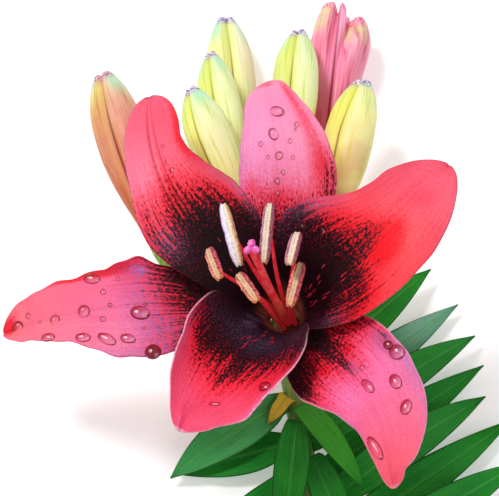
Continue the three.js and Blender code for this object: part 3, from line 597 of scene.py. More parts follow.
# Azimuth and slope are in degrees, and clock and counter are half widths, all from base to tip. Front is
# how far the dark centre reaches, as a share of the length, from the clockwise edge across to the other one.
# Sides are the colours at those two edges. Rim is its thin margin's colour, a painted highlight where it is
# pale, and rimAmount is how much its thin rim shows. Patches are (s, u, spread along, spread across, amount):
# of cool haze, partly the tepal's own grey-violet and partly a painted sheen, of red, of painted crimson
# shade in grooves and along margins, of dark in millimetres added to the front, of creases in millimetres
# and, at an edge, of millimetres by which it stands out.
tepals = {
    "petal_right": {
        "kind": "inner", "length": 86, "azimuth": (8, 16, 31), "slope": (66, 28, -20),
        "clock": (12, 20.5, 23.5, 19, 14, 10), "counter": (15, 27.5, 25, 17.5, 12.5, 10), "cup": (0.1, 0.3),
        "phase": 0.1, "front": (0.36, 0.4, 0.54, 0.49, 0.39), "ruffle": 0.4, "pegs": 20,
        "tip": "#F46078", "sides": ("#F2464E", "#F04452"), "deep": "#D82844", "red": "#EC0A1C",
        "hazeAndSheen": "#A87CB0", "rim": "#B81E44", "rimAmount": 0.6,
        "shade": ((0.95, -0.95, 0.15, 0.1, 0.25),),
        "lilacAndSheen": ((0.46, 0.98, 0.14, 0.2, 1), (0.3, -0.85, 0.07, 0.2, 0.5), (0.86, -1, 0.12, 0.06, 0.35)),
        "redness": ((0.61, -0.12, 0.11, 0.4, 1.2), (0.49, -0.75, 0.06, 0.3, 0.6)),
        "dark": ((0.45, -0.6, 0.06, 0.35, 7), (0.6, 0.25, 0.05, 0.14, 6), (0.42, 0.9, 0.06, 0.2, 5)),
        "creases": ((0.8, 0.2, 0.14, 0.05, -0.4),),
    },
    "sepal_top": {
        "kind": "outer", "length": 97.5, "azimuth": (78, 81, 90), "slope": (56, 34, -52),
        "clock": (9.8, 16.5, 20, 15.3, 7.5, 5), "counter": (12, 15, 10.5, 9), "cup": (0, 0.1), "phase": 0.4,
        "front": (0.45, 0.37, 0.36, 0.37, 0.385), "ruffle": 0.5,
        "tip": "#F28AB2", "sides": ("#F08CAE", "#F498C6"), "deep": "#E66894", "red": "#EE3450",
        "hazeAndSheen": "#B682BE", "rim": "#A8284C", "rimAmount": 0.55,
        "shade": ((0.9, -0.93, 0.12, 0.06, 0.35), (0.55, -0.8, 0.09, 0.22, 0.35),
                  (0.95, 0.1, 0.025, 0.9, 0.2)),
        "lilacAndSheen": ((0.75, 1, 0.3, 0.1, 0.35), (0.5, 1, 0.08, 0.12, 0.8), (0.6, -1, 0.2, 0.05, 0.5)),
        "redness": ((0.7, -0.72, 0.14, 0.22, 0.55), (0.85, -0.8, 0.08, 0.2, 0.45),
                    (0.53, -0.8, 0.08, 0.3, 0.6), (0.42, 0.1, 0.09, 0.9, 0.75), (0.5, 0.75, 0.06, 0.3, 0.35),
                    (0.95, 0.1, 0.04, 0.9, 0.6)),
        "dark": ((0.53, -0.85, 0.05, 0.2, 4),),
        "creases": ((0.68, -0.72, 0.14, 0.08, -0.7),),
    },
    "petal_upper_left": {
        "kind": "inner", "length": 99.5, "azimuth": (134, 133, 119), "slope": (66, 30, -20),
        "clock": (14, 19, 9.2, 10.5), "counter": (9.5, 15, 19, 14.5, 12, 9.5), "cup": (0.2, 0.1),
        "phase": 0.7, "front": (0.42, 0.51, 0.58, 0.52, 0.49), "ruffle": 0.4, "pegs": 8,
        "tip": "#F25E78", "sides": ("#F25C70", "#F47E9A"), "deep": "#DC4462", "red": "#EC1428",
        "hazeAndSheen": "#B088BC", "rim": "#8C1434", "rimAmount": 0.9,
        "shade": ((0.78, 0.24, 0.17, 0.03, 0.6), (0.74, 0.04, 0.16, 0.03, 0.55),
                  (0.86, -0.45, 0.08, 0.3, 0.15)),
        "lilacAndSheen": ((0.48, -1, 0.12, 0.14, 1), (0.48, 0.72, 0.06, 0.3, 0.8), (0.85, 1, 0.15, 0.12, 0.3),
                  (0.3, -0.3, 0.05, 0.2, 0.1)),
        "redness": ((0.8, -0.95, 0.2, 0.3, 0.8), (0.6, -0.4, 0.08, 0.3, 0.5), (0.55, 0.85, 0.08, 0.2, 0.5),
                    (0.82, 0.22, 0.2, 0.05, 0.5), (0.8, 0.04, 0.16, 0.04, 0.5)),
        "dark": ((0.62, 0.1, 0.05, 0.1, 5),),
        "creases": ((0.8, 0.22, 0.18, 0.05, -0.7), (0.76, 0.06, 0.16, 0.05, -0.6)),
    },
    "sepal_left": {
        "kind": "outer", "length": 105, "azimuth": (184, 186, 184), "slope": (58, 18, -28),
        "clock": (11, 17, 14, 10), "counter": (12, 18, 9, 6), "cup": (0.15, 0.05), "phase": 0.2,
        "front": (0.45, 0.42, 0.37, 0.36, 0.4), "ruffle": 1.3,
        "tip": "#F47684", "sides": ("#F25E86", "#F4789C"), "deep": "#DA4470", "red": "#E61E30",
        "hazeAndSheen": "#9C78C4", "rim": "#C02048", "rimAmount": 0.7,
        "shade": ((0.56, -0.95, 0.06, 0.1, 0.5), (0.66, -1, 0.04, 0.08, 0.6), (0.36, -0.6, 0.03, 0.2, 0.3),
                  (0.52, 0.95, 0.08, 0.15, 0.25)),
        "lilacAndSheen": ((0.5, -0.35, 0.08, 0.5, 0.8), (0.45, 0.45, 0.09, 0.45, 1), (0.5, 1, 0.12, 0.2, 0.9),
                  (0.49, -0.8, 0.028, 0.09, 1.5), (0.62, 0, 0.08, 0.8, 0.12)),
        "redness": ((0.98, -0.2, 0.05, 0.8, 1), (0.54, -1, 0.1, 0.2, 2), (0.7, -1, 0.12, 0.12, 1.2),
                    (0.39, -0.2, 0.05, 0.6, 1.2)),
        "dark": ((0.45, 0.35, 0.04, 0.3, 5),),
        "creases": ((0.53, -1, 0.07, 0.2, 1.6), (0.62, -0.9, 0.05, 0.2, -0.8), (0.93, 0, 0.06, 0.5, -0.4)),
        "edges": ((0.49, -1, 0.035, 0.5, 0.9), (0.6, -1, 0.02, 0.5, -0.8), (0.84, -1, 0.02, 0.5, -0.6)),
    },
    "petal_lower_left": {
        "kind": "inner", "length": 74, "azimuth": (250, 249, 243), "slope": (66, 40, 10),
        "clock": (19, 27.5, 17.5, 8.5), "counter": (18, 26, 20, 10), "cup": (0.85, 0.4), "phase": 0.5,
        "front": (0.5, 0.57, 0.63, 0.53, 0.52), "ruffle": 0.9, "pegs": 16,
        "tip": "#F05074", "sides": ("#F6486E", "#EC3A58"), "deep": "#CC2246", "red": "#EE1A30",
        "hazeAndSheen": "#C48AC6", "rim": "#FAD0E4", "rimAmount": 0.6,
        "shade": ((0.9, -0.32, 0.05, 0.06, 0.4), (0.84, 0.0, 0.08, 0.05, 0.25)),
        "lilacAndSheen": ((0.62, -1, 0.14, 0.12, 1), (0.74, 1, 0.14, 0.1, 1), (0.5, 1, 0.2, 0.07, 0.7),
                  (0.4, -0.8, 0.06, 0.2, 0.35), (0.98, -0.35, 0.04, 0.1, 0.7),
                  (0.15, -0.7, 0.04, 0.12, 2), (0.22, -0.45, 0.04, 0.1, 2), (0.3, 0, 0.12, 0.8, 0.8)),
        "redness": ((0.68, -0.25, 0.07, 0.35, 0.7), (0.62, 0.35, 0.07, 0.4, 0.7),
                    (0.93, -0.4, 0.08, 0.2, 0.4)),
        "dark": ((0.69, -0.08, 0.04, 0.13, 6), (0.56, -0.6, 0.04, 0.2, 3), (0.62, 0.1, 0.05, 0.35, 3)),
        "creases": ((0.95, -0.3, 0.06, 0.1, 0.9), (0.88, 0.1, 0.08, 0.2, -0.5),
                    (0.19, -0.55, 0.05, 0.1, 0.8)),
        "edges": ((0.82, 1, 0.03, 0.5, 1.2), (0.9, 1, 0.03, 0.5, -1.2), (0.72, 1, 0.025, 0.5, -0.8)),
    },
    "sepal_lower_right": {
        "kind": "outer", "length": 90, "azimuth": (313, 312.5, 311, 307.5, 299), "slope": (58, 22, -16),
        "clock": (13, 19, 10, 4.5), "counter": (12, 18, 16, 7), "cup": (0.1, 0.1), "phase": 0.9,
        "front": (0.58, 0.43, 0.45, 0.37, 0.42), "ruffle": 0.6,
        "tip": "#F45C70", "sides": ("#F46EA6", "#EE6CA0"), "deep": "#DC4870", "red": "#E8152C",
        "hazeAndSheen": "#A070B0", "rim": "#F8C0CC", "rimAmount": 0.5,
        "shade": ((0.52, 0.1, 0.06, 0.05, 0.3), (0.97, 0.3, 0.03, 0.2, 0.3)),
        "lilacAndSheen": ((0.64, 0.95, 0.14, 0.24, 1), (0.53, 0.75, 0.05, 0.16, 1), (0.72, -1, 0.12, 0.12, 1),
                  (0.54, 0.04, 0.04, 0.1, 0.8), (0.8, 0.98, 0.15, 0.06, 0.7), (0.62, -0.4, 0.1, 0.4, 0.25)),
        "redness": ((0.45, -0.35, 0.06, 0.2, 1.1), (0.44, 0.25, 0.05, 0.2, 1), (0.5, 0.6, 0.05, 0.15, 0.5),
                    (0.9, 0.3, 0.12, 0.6, 0.25), (0.42, -0.85, 0.07, 0.2, 0.8)),
        "dark": ((0.5, 0, 0.06, 0.05, 14), (0.5, -0.75, 0.06, 0.2, 5), (0.54, 0.82, 0.05, 0.14, 13),
                 (0.33, -0.35, 0.06, 0.18, -9), (0.3, 0.45, 0.05, 0.25, -8)),
        "creases": ((0.55, 0.3, 0.1, 0.15, 0.4), (0.94, 0.6, 0.03, 0.3, 0.7)),
        "edges": ((0.945, 1, 0.012, 0.5, -1.3), (0.905, 1, 0.02, 0.5, 0.5)),
    },
}
tilt, sway = map(radians, bloom["turn"])
bloomTurn = Matrix.Rotation(tilt, 4, "X") @ Matrix.Rotation(sway, 4, "Y")
bloomPlace = Matrix.Translation(Vector(bloom["foot"])) @ bloomTurn


def patchSum(patches, s, u):
    return sum(
        amount * bump(s, at, along) * bump(u, out, across) for at, out, along, across, amount in patches
    )


def tepalEnd(s):  # 1 along most of a tepal, falling to almost nothing round its blunt tip
    return math.sqrt(1 - clamp((s - 1 + bloom["blunt"]) / bloom["blunt"], 0, 0.995) ** 2)


def tepalWidth(look, s, u):
    return spread((bloom["base"], *(look["clock"] if u < 0 else look["counter"])), s) * tepalEnd(s)


def tepalDepth(look, s, u):  # how far inside the dark centre a place is, in millimetres
    return (spread(look["front"], (u + 1) / 2) - s) * look["length"] + patchSum(look["dark"], s, u)


def tepalMarks(look):
    return {
        "depth": lambda s, u: tepalDepth(look, s, u),
        "lilacAndSheen": lambda s, u: patchSum(look["lilacAndSheen"], s, u),
        "redness": lambda s, u: patchSum(look["redness"], s, u),
        "across": lambda s, u: u * tepalWidth(look, s, u),
        "shade": lambda s, u: min(patchSum(look["shade"], s, u), 1),
    }


def tepalPlace(look):
    steps, kind = bloom["steps"], tepalKinds[look["kind"]]
    stride = look["length"] / steps
    line = [(kind["foot"], bloom["lift"])]
    for k in range(steps):
        slope = radians(spread(look["slope"], (k + 0.5) / steps))
        out, rise = line[k]
        line.append((out + math.cos(slope) * stride, rise + math.sin(slope) * stride))
    seed = Vector((look["phase"] * 90, 0, 0))

    def outUp(s):
        k = clamp(s, 0, 1) * steps
        low = min(int(k), steps - 1)
        return [lerp(a, b, k - low) for a, b in zip(line[low], line[low + 1])]

    def spine(s):
        out, rise = outUp(s)
        return polar(out, spread(look["azimuth"], s), rise)

    def place(s, u):
        slope = radians(spread(look["slope"], s))
        along = (spine(min(s + 0.01, 1)) - spine(max(s - 0.01, 0))).normalized()
        side = up.cross(along).normalized()
        normal = along.cross(side)
        curl = look["cup"][0 if u < 0 else 1]
        w, end = tepalWidth(look, s, u), tepalEnd(s)
        margin = Vector((s * look["length"], 40 if u > 0 else 0, 0)) + seed
        ruffle = look["ruffle"] * rough(margin, 6) * end * smoothstep(s, 0.3, 0.5)
        w += (ruffle + patchSum(look.get("edges", ()), s, u)) * abs(u) ** 3
        bow = max(w * math.sin(slope) / outUp(s)[0] + curl * smoothstep(s, 0.15, 0.5), 0.01)
        ripple = math.sin(2 * math.pi * (bloom["waves"] * s + look["phase"] + (0.3 if u > 0 else 0)))
        edge = kind["wave"] * abs(u) ** 2.5 * ripple * smoothstep(s, 0.25, 0.55) * end
        groove = bloom["groove"] * bump(u, 0, 0.16) * smoothstep(s, 0.1, 0.3)
        flat = Vector((u * w, s * look["length"], 0)) + seed
        crinkle = bloom["crinkle"] * rough(flat, 7) * abs(u) ** 3 * smoothstep(s, 0.2, 0.5) * end
        veins = math.cos(u * 2 * math.pi * bloom["veins"] + 3 * rough(flat, 18))
        veins *= bloom["veinRelief"] * smoothstep(s, 0.05, 0.3) * end
        tuck = bloom["tuck"] * (1 - smoothstep(s, 0, 0.05))
        lift = edge + crinkle + veins - groove + patchSum(look["creases"], s, u) - tuck
        point = spine(s) + side * w * math.sin(u * bow) / bow
        return bloomPlace @ (point + normal * (w * (1 - math.cos(u * bow)) / bow + lift))

    return place


def tepalHalf(s, u):
    return lerp(bloom["edge"], bloom["middle"], bump(u, 0, 0.3) * (1 - s * 0.5)) / 2


def makeTepals():
    for name, look in tepals.items():
        bm = bmesh.new()
        shapeBlade(bm, bloom["across"], bloom["along"], tepalPlace(look), tepalHalf, tepalMarks(look))
        finishPiece(bm, "tepal_" + name, makeTepalSkin(name + "_skin", look), [name])
    print("tepals:", len(tepals))


# Papillae: small fleshy pegs beside the furrow of each inner tepal.
pegs = {
    "along": (0.16, 0.42), "aside": (0.07, 0.26), "size": (0.6, 1.1), "long": 1.6, "wide": 0.34, "lift": 0.55,
    "around": 10, "rows": 8, "seed": 11,
}


def makePapillae():
    skin = makeStalkSkin("papillaSkin", "#D8304A", "#7A0C24")
    rng = random.Random(pegs["seed"])
    for name, look in tepals.items():
        if look["kind"] != "inner":
            continue
        place = tepalPlace(look)
        bm = bmesh.new()
        for _ in range(look["pegs"]):
            s = rng.uniform(*pegs["along"])
            u = rng.choice((-1, 1)) * rng.uniform(*pegs["aside"])
            size = rng.uniform(*pegs["size"])
            middle = place(s, u)
            along = (place(s + 0.01, u) - middle).normalized()
            side = (place(s, u + 0.02) - middle).normalized()
            normal = along.cross(side).normalized()
            turned = Matrix((along, along.cross(normal), normal)).transposed().to_4x4()
            made = bmesh.ops.create_uvsphere(bm, u_segments=pegs["around"], v_segments=pegs["rows"], radius=1)
            ball, wide = made["verts"], pegs["wide"] * size
            bmesh.ops.scale(bm, vec=(pegs["long"] * size, wide, wide), verts=ball)
            seat = Matrix.Translation(middle + normal * pegs["lift"]) @ turned
            bmesh.ops.transform(bm, matrix=seat, verts=ball)
        finishPiece(bm, "papillae_" + name, skin, [], 0)
    print("papillae made")


stamen = {
    "foot": 2.65, "sunk": 0.8, "radius": 0.8, "half": 2.1, "flat": 0.75, "furrow": 0.42, "notch": 0.09,
    "seam": 0.16, "bend": 0.03, "crumbs": 0.3, "wall": 0.45, "around": 36, "along": 44,
    "stalkAround": 12, "stalkAlong": 44, "stalkPoints": 80,
}
# Azimuth, reach and height place an anther's middle over the bloom's foot, and along is its direction.
stamens = [
    {"azimuth": 165, "reach": 15.6, "height": 47, "along": (-0.33, 0.83, -0.45), "long": 19.5, "coat": "rust"},
    {"azimuth": 125, "reach": 15, "height": 50, "along": (-0.15, 0.86, 0.48), "long": 23, "coat": "pale"},
    {"azimuth": 73, "reach": 12.3, "height": 50, "along": (0.19, 0.91, 0.37), "long": 21.5, "coat": "mauve"},
    {"azimuth": 32, "reach": 13.7, "height": 46, "along": (0.06, 0.86, -0.51), "long": 19.5, "coat": "mauve"},
    {"azimuth": 341, "reach": 12, "height": 42, "along": (0.19, 0.96, -0.22), "long": 19, "coat": "rust"},
    {"azimuth": 240, "reach": 6.9, "height": 48, "along": (-0.47, 0.78, -0.41), "long": 18.5, "coat": "rust"},
]
# Stops are the colours from the slit outwards on the near half of an anther, and farStops on the other.
antherLooks = {
    "rust": {
        "stops": (
            (0, "#BC9C80"), (0.03, "#E4C098"), (0.075, "#DCA078"), (0.1, "#8C3A3C"), (0.13, "#F09888"),
        ),
        "farStops": (
            (0, "#BC9C80"), (0.03, "#E4C098"), (0.07, "#D4947C"), (0.09, "#7E2430"), (0.14, "#D8606C"),
        ),
        "warm": "#F0A050", "warmth": 0.6, "pit": "#6E1428", "notched": 0.8,
    },
    "mauve": {
        "stops": (
            (0, "#D0BCAC"), (0.03, "#F0DCC8"), (0.085, "#DCC4C0"), (0.11, "#80385A"), (0.15, "#D08898"),
        ),
        "farStops": (
            (0, "#D0BCAC"), (0.03, "#F0E0CC"), (0.09, "#E4C49C"), (0.11, "#9A5A50"), (0.15, "#A85C74"),
        ),
        "warm": "#E4B070", "warmth": 0.5, "pit": "#642048", "notched": 0.6,
    },
    "pale": {
        "stops": (
            (0, "#D4CCD0"), (0.02, "#F4ECFA"), (0.13, "#F4E6F8"), (0.18, "#C8A4D2"), (0.26, "#9870A4"),
        ),
        "farStops": (
            (0, "#D4CCD0"), (0.02, "#F6E8D4"), (0.12, "#F4DCB0"), (0.16, "#C88C60"), (0.24, "#D8A888"),
        ),
        "warm": "#F0C8A8", "warmth": 0.3, "pit": "#A07890", "notched": 0.3,
    },
}


def antherAxes(look):
    middle = polar(look["reach"], look["azimuth"], look["height"])
    axis = Vector(look["along"]).normalized()
    side = Vector((middle.x, middle.y, look["height"] * 2)).cross(axis).normalized()
    return middle, axis, side, axis.cross(side)


def antherPlace(look):
    middle, axis, side, face = antherAxes(look)
    turned = bloomPlace @ Matrix.Translation(middle) @ Matrix((axis, side, face)).transposed().to_4x4()

    def place(s, turn):
        x = -math.cos(math.pi * s)
        full = math.sqrt(max(1 - x ** 4, 0))
        angle = 2 * math.pi * turn
        y, z = math.cos(angle) * full, math.sin(angle) * full
        furrow = 1 - stamen["furrow"] * bump(y, 0, 0.3)
        seam = 1 - stamen["seam"] * bump(abs(y), 0.62, 0.12) * smoothstep(z, -0.2, 0.3)
        notch = 1 - stamen["notch"] * bump(y, 0, 0.3) * abs(x) ** 6
        bend = stamen["bend"] * look["long"] * (x ** 2 - 0.5)
        point = Vector((
            x * notch * look["long"] / 2,
            y * stamen["half"] * seam,
            z * stamen["flat"] * stamen["half"] * furrow,
        ))
        wall = Vector((point.x, look["azimuth"] + 9 * (y > 0), 0))
        crumbs = stamen["crumbs"] * rough(turned @ point, 0.9) * smoothstep(full, 0, 0.4)
        crumbs += stamen["wall"] * rough(wall, 0.8) * smoothstep(abs(y), 0.45, 0.8)
        point *= 1 + crumbs / max(point.length, 1)
        point.z -= bend
        return turned @ point

    return place


def filamentRadius(t):
    return stamen["radius"] * (1.05 - 0.45 * t ** 2) * (1 + 0.12 * (1 - smoothstep(t, 0, 0.2)))


def makeStamens():
    filamentSkin = makeStalkSkin("filamentSkin", "#FF5662", "#EC2434", foot="#A04C30")
    antherSkins = {coat: makeAntherSkin(coat + "PollenSac", look) for coat, look in antherLooks.items()}
    for i, look in enumerate(stamens, 1):
        bm = newRound()
        shapeRound(bm, stamen["around"], stamen["along"], antherPlace(look))
        finishPiece(bm, f"pollen_sac_{i}", antherSkins[look["coat"]], [f"anther_{i}"])
        middle, _, _, face = antherAxes(look)
        end = middle - face * stamen["half"] * 0.5
        azimuth, reach, height = look["azimuth"], look["reach"], look["height"]
        line = smoothLine([
            polar(stamen["foot"], azimuth, -stamen["sunk"]),
            polar(stamen["foot"] + 1.2, azimuth, 14),
            polar(lerp(stamen["foot"], reach, 0.5), azimuth, height * 0.6),
            (end - face * 3).lerp(polar(reach, azimuth, height - 6), 0.3),
            end,
        ], stamen["stalkPoints"])
        line = [bloomPlace @ p for p in line]
        bm = newRound()
        limb = alongTube(line, filamentRadius, bloomTurn @ polar(1, azimuth - 90, 0))
        shapeRound(bm, stamen["stalkAround"], stamen["stalkAlong"], limb)
        finishPiece(bm, f"stamen_stalk_{i}", filamentSkin, [f"filament_{i}"])
    print("stamens:", len(stamens))


pistil = {
    "ovary": 1.6, "ovaryLength": 17, "style": 1.5, "height": 50, "lean": (-1.6, 7), "lobe": 1.5,
    "lobes": (90, 210, 330), "ribs": 3, "rib": 0.08, "points": 120, "around": 24, "along": 80,
    "lobeAround": 20, "lobeAlong": 14,
}


def makePistil():
    top = Vector((*pistil["lean"], pistil["height"]))
    low = Vector((*pistil["lean"], 0)) * 0.1
    line = smoothLine([
        Vector((0, 0, -stamen["sunk"])), Vector((0, 0, pistil["ovaryLength"])),
        Vector((low.x, low.y, pistil["height"] * 0.55)), top,
    ], pistil["points"])

    def radiusAt(t):
        swell = lerp(pistil["ovary"], pistil["style"] * 0.9, smoothstep(t, 0.32, 0.4))
        return swell + pistil["style"] * 0.15 * smoothstep(t, 0.8, 1)

    plain = alongTube(line, radiusAt, Vector((0, 1, 0)))

    def ribbed(s, turn):
        centre = pointAt(line, tubeAt(s))
        rib = 1 + pistil["rib"] * math.cos(turn * 2 * math.pi * pistil["ribs"])
        return bloomPlace @ (centre + (plain(s, turn) - centre) * rib)

    bm = newRound()
    shapeRound(bm, pistil["around"], pistil["along"], ribbed)
    style = makeStalkSkin("styleSkin", "#FF7C80", "#F82C3A", 0.38, "#A8843C")
    finishPiece(bm, "style_and_ovary", style, ["pistil"])

    bm = newRound()
    for azimuth in pistil["lobes"]:
        out = polar(1, azimuth, 0)

        def lobe(s, turn):
            z = -math.cos(math.pi * s)
            r = math.sin(math.pi * s)
            angle = 2 * math.pi * turn
            flat = Vector((r * math.cos(angle), r * math.sin(angle), z * 0.9))
            point = top + out * pistil["lobe"] * (0.98 + 0.2 * out.dot(flat)) + flat * pistil["lobe"] * 0.88
            point += flat * 0.3 * rough(point, 1.1)
            return bloomPlace @ point

        shapeRound(bm, pistil["lobeAround"], pistil["lobeAlong"], lobe)
    stigma = makeStalkSkin("stigmaSkin", "#F08CCC", "#CC4C9C", 0.3)
    finishPiece(bm, "stigma", stigma, ["pistil"])
    print("pistil made")


# the buds

# Start and knob are where its foot is closed and its top begins, and ridge, furrow and topFurrow shares of
# its radius. Crown is how far the top's middle is sunk. OpenBud is what the opening bud has more of.
budShape = {
    "foot": 2.2, "widest": 0.6, "around": 72, "along": 50, "start": 0.02, "knob": 0.92, "knobHeight": 1.3,
    "swell": 1.2, "narrow": 2.8, "ridge": 0.04, "furrow": 0.12, "topFurrow": 0.22, "crown": 1.5, "rough": 0.25,
}
openBud = {"topFurrow": 0.2, "notch": 0.05, "lower": 0.07, "flare": 0.55, "flatter": 0.4, "crown": 6}
# Stops are the colours from foot to tip. Light and dim are the streaks, blush reaches up to blushTo, edge
# is a tepal's margin and mint the flush round the tip. The blush colour also lies as painted shade in the
# furrows beside each seam, as much as shadeAmount.
green = {
    "stopsAt": (0, 0.35, 0.7, 0.84, 0.9),
    "stops": ("#A8B850", "#E4EE92", "#ECF6B4", "#E4F0AC", "#CCCCB4"),
    "leftStops": ("#8C7C28", "#CCCC58", "#E0E87A", "#D4E47C", "#B8B89C"),
    "light": "#FCFCE8", "dim": "#9CC04C", "dimAmount": 0.55,
    "blushAndShade": "#A8743C", "blushTo": 0.4, "blushAmount": 0.5,
    "edge": "#E6EC58", "edgeAmount": 0.5, "seam": "#5E6A1C", "shadeAmount": 0.5,
    "mint": "#A8E4BC", "mintAmount": 0.75, "wool": "#5C4C8C", "woolLight": "#E4D0EC",
}
budLooks = {
    "green": green,
    "creamy": {
        **green, "blushAndShade": "#DC9C7C", "blushTo": 0.85,
        "stops": ("#A8B850", "#E8EC9C", "#FAF4CC", "#F4F4C8", "#D8D4C4"),
        "leftStops": ("#8C8C38", "#D8DC6C", "#F0F09C", "#E0ECA0", "#C4C4A8"),
    },
    "golden": {
        **green, "blushAndShade": "#B8683C", "blushTo": 0.75, "blushAmount": 0.9, "seam": "#7C5428",
        "stops": ("#C89850", "#F0E484", "#F8F4A0", "#F0F0A0", "#D8D0B0"),
        "leftStops": ("#B08840", "#E8D060", "#F4EC68", "#E8E870", "#C8BC94"),
        "woolLight": "#FCEEFC",
    },
    "flushed": {
        **green, "blushAndShade": "#BC4C30", "blushTo": 1.1, "blushAmount": 0.8,
        "stopsAt": (0, 0.35, 0.65, 0.84, 0.9),
        "stops": ("#C08448", "#DC7C54", "#E8A08C", "#F0D8B0", "#C8B0A0"),
        "leftStops": ("#A07030", "#CC7440", "#DC9C60", "#E8E078", "#C4A888"),
        "light": "#FCDCCC", "dim": "#A84C2C", "dimAmount": 0.7, "edge": "#F0C880", "edgeAmount": 0.3,
        "seam": "#5A1410", "shadeAmount": 0.95, "wool": "#7C4468", "woolLight": "#F0B4C8",
    },
    "red": {
        **green, "blushAndShade": "#CC1C40", "blushTo": 0.9, "blushAmount": 0.6,
        "stopsAt": (0, 0.3, 0.6, 0.8, 0.9),
        "stops": ("#A0102E", "#DC3A62", "#F88CAC", "#FCA4BC", "#F4A0B4"),
        "leftStops": ("#980C2C", "#D83056", "#F880A4", "#FC98B0", "#F49CB0"),
        "light": "#FFD8E8", "dim": "#B80C3C", "dimAmount": 0.8, "edge": "#F8A0C8",
        "seam": "#4A0414", "shadeAmount": 0.9, "mint": "#D0E088", "mintAmount": 0.8,
        "wool": "#E05878", "woolLight": "#F8A8C0",
    },
}
# From is where its stalk leaves the top of the stem, roll turns it round its length, and lies lets it down
# onto the table.
buds = {
    "bud_left": {
        "base": (-50, 43, 14), "tip": (-70.3, 112.2, 12), "radius": 9.8, "taper": 0.6, "roll": -24,
        "from": 0.1, "lies": True, "coat": "flushed",
    },
    "bud_back": {
        "base": (-17, 62, 10), "tip": (-23, 137, 10), "radius": 9.5, "taper": 0.66, "roll": 6, "from": 0.8,
        "lies": True, "coat": "creamy",
    },
    "bud_middle": {
        "base": (-17.5, 53, 27), "tip": (-28.3, 112, 28), "radius": 7.9, "taper": 0.74, "roll": -24,
        "from": 0.6, "coat": "green",
    },
    "bud_front": {
        "base": (-14, 37, 38.5), "tip": (-35, 89, 44.5), "radius": 8.8, "taper": 0.74, "roll": -46,
        "from": 0.35, "coat": "green",
    },
    "bud_centre": {
        "base": (1.5, 60, 26), "tip": (5.5, 122, 27), "radius": 8.7, "taper": 0.68, "roll": -16, "from": 0.9,
        "coat": "green",
    },
    "bud_opening": {
        "base": (13, 60, 11), "tip": (22, 139.5, 13), "radius": 10.5, "taper": 0.34, "roll": 0, "from": 0.7,
        "lies": True, "open": 1, "coat": "red",
    },
    "bud_right": {
        "base": (14, 35, 29), "tip": (29.5, 98, 32), "radius": 9.5, "taper": 0.66, "roll": -30, "from": 0.3,
        "coat": "golden",
    },
}


def budPlace(look):
    shape = budShape
    base = Vector(look["base"])
    length = (Vector(look["tip"]) - base).length
    along = (Vector(look["tip"]) - base).normalized()
    side = along.cross(up).normalized()
    above = side.cross(along)
    opened = look.get("open", 0)
    wide = shape["widest"]

    def outline(x):
        if x < wide:
            return lerp(shape["foot"], look["radius"], math.sin(math.pi / 2 * x / wide) ** shape["swell"])
        return look["radius"] * (1 - look["taper"] * ((x - wide) / (1 - wide)) ** shape["narrow"])

    def place(s, turn):
        q = clamp((s - shape["knob"]) / (1 - shape["knob"]), 0, 1)  # over the top, towards its middle
        x = clamp((s - shape["start"]) / (shape["knob"] - shape["start"]), 0, 1)
        r = outline(x) * clamp(s / shape["start"], 0, 1) * math.cos(q * math.pi / 2)
        y = x * (length - shape["knobHeight"] * (1 - opened))
        turns = (turn + 0.5) % 1 - 0.5
        seam = abs((turns * 3 + 3.5) % 1 - 0.5) / 3
        lobe = 1 - (1 - clamp(seam * 6, 0, 1)) ** 2
        top = smoothstep(x, 0.55, 1)
        furrow = bump(seam, 0, 0.035)
        if opened and abs(turns) < 0.17:  # an inner tepal shows between the two outer ones
            furrow = bump(turns, -0.025, 0.018) + bump(turns, lerp(0.02, 0.09, top), 0.025)
        ridge = shape["ridge"] * math.cos(6 * math.pi * turns + math.pi)
        deeper = (shape["topFurrow"] + openBud["topFurrow"] * opened) * top
        rib = 1 + ridge - (shape["furrow"] + deeper) * furrow
        aside = opened * top * smoothstep(math.cos(2 * math.pi * (turns - 0.2)), 0.45, 0.8)
        y -= length * (openBud["notch"] * opened * top * furrow + openBud["lower"] * aside)
        y += shape["knobHeight"] * lobe * math.sin(math.pi * q) * (1 - openBud["flatter"] * opened)
        y -= (shape["crown"] + openBud["crown"] * opened) * smoothstep(q, 0.3, 1)
        r *= rib * (1 + openBud["flare"] * aside)
        angle = 2 * math.pi * turns + radians(look["roll"])
        outward = side * math.sin(angle) + above * math.cos(angle)
        point = base + outward * r + along * y
        return point + outward * shape["rough"] * rough(point, 6) * math.sin(math.pi * x)

    return place


def makeBuds():
    skins = {coat: makeBudSkin(coat + "BudSkin", look) for coat, look in budLooks.items()}
    drops = {}
    for name, look in buds.items():
        bm = newRound()
        shapeRound(bm, budShape["around"], budShape["along"], budPlace(look))
        drops[name] = -min(v.co.z for v in bm.verts) if look.get("lies") else 0
        bmesh.ops.translate(bm, verts=bm.verts, vec=(0, 0, drops[name]))
        material = skins[look["coat"]]
        finishPiece(bm, "lily_" + name, material, [name])
    print("buds:", len(buds))
    return drops


# the stem

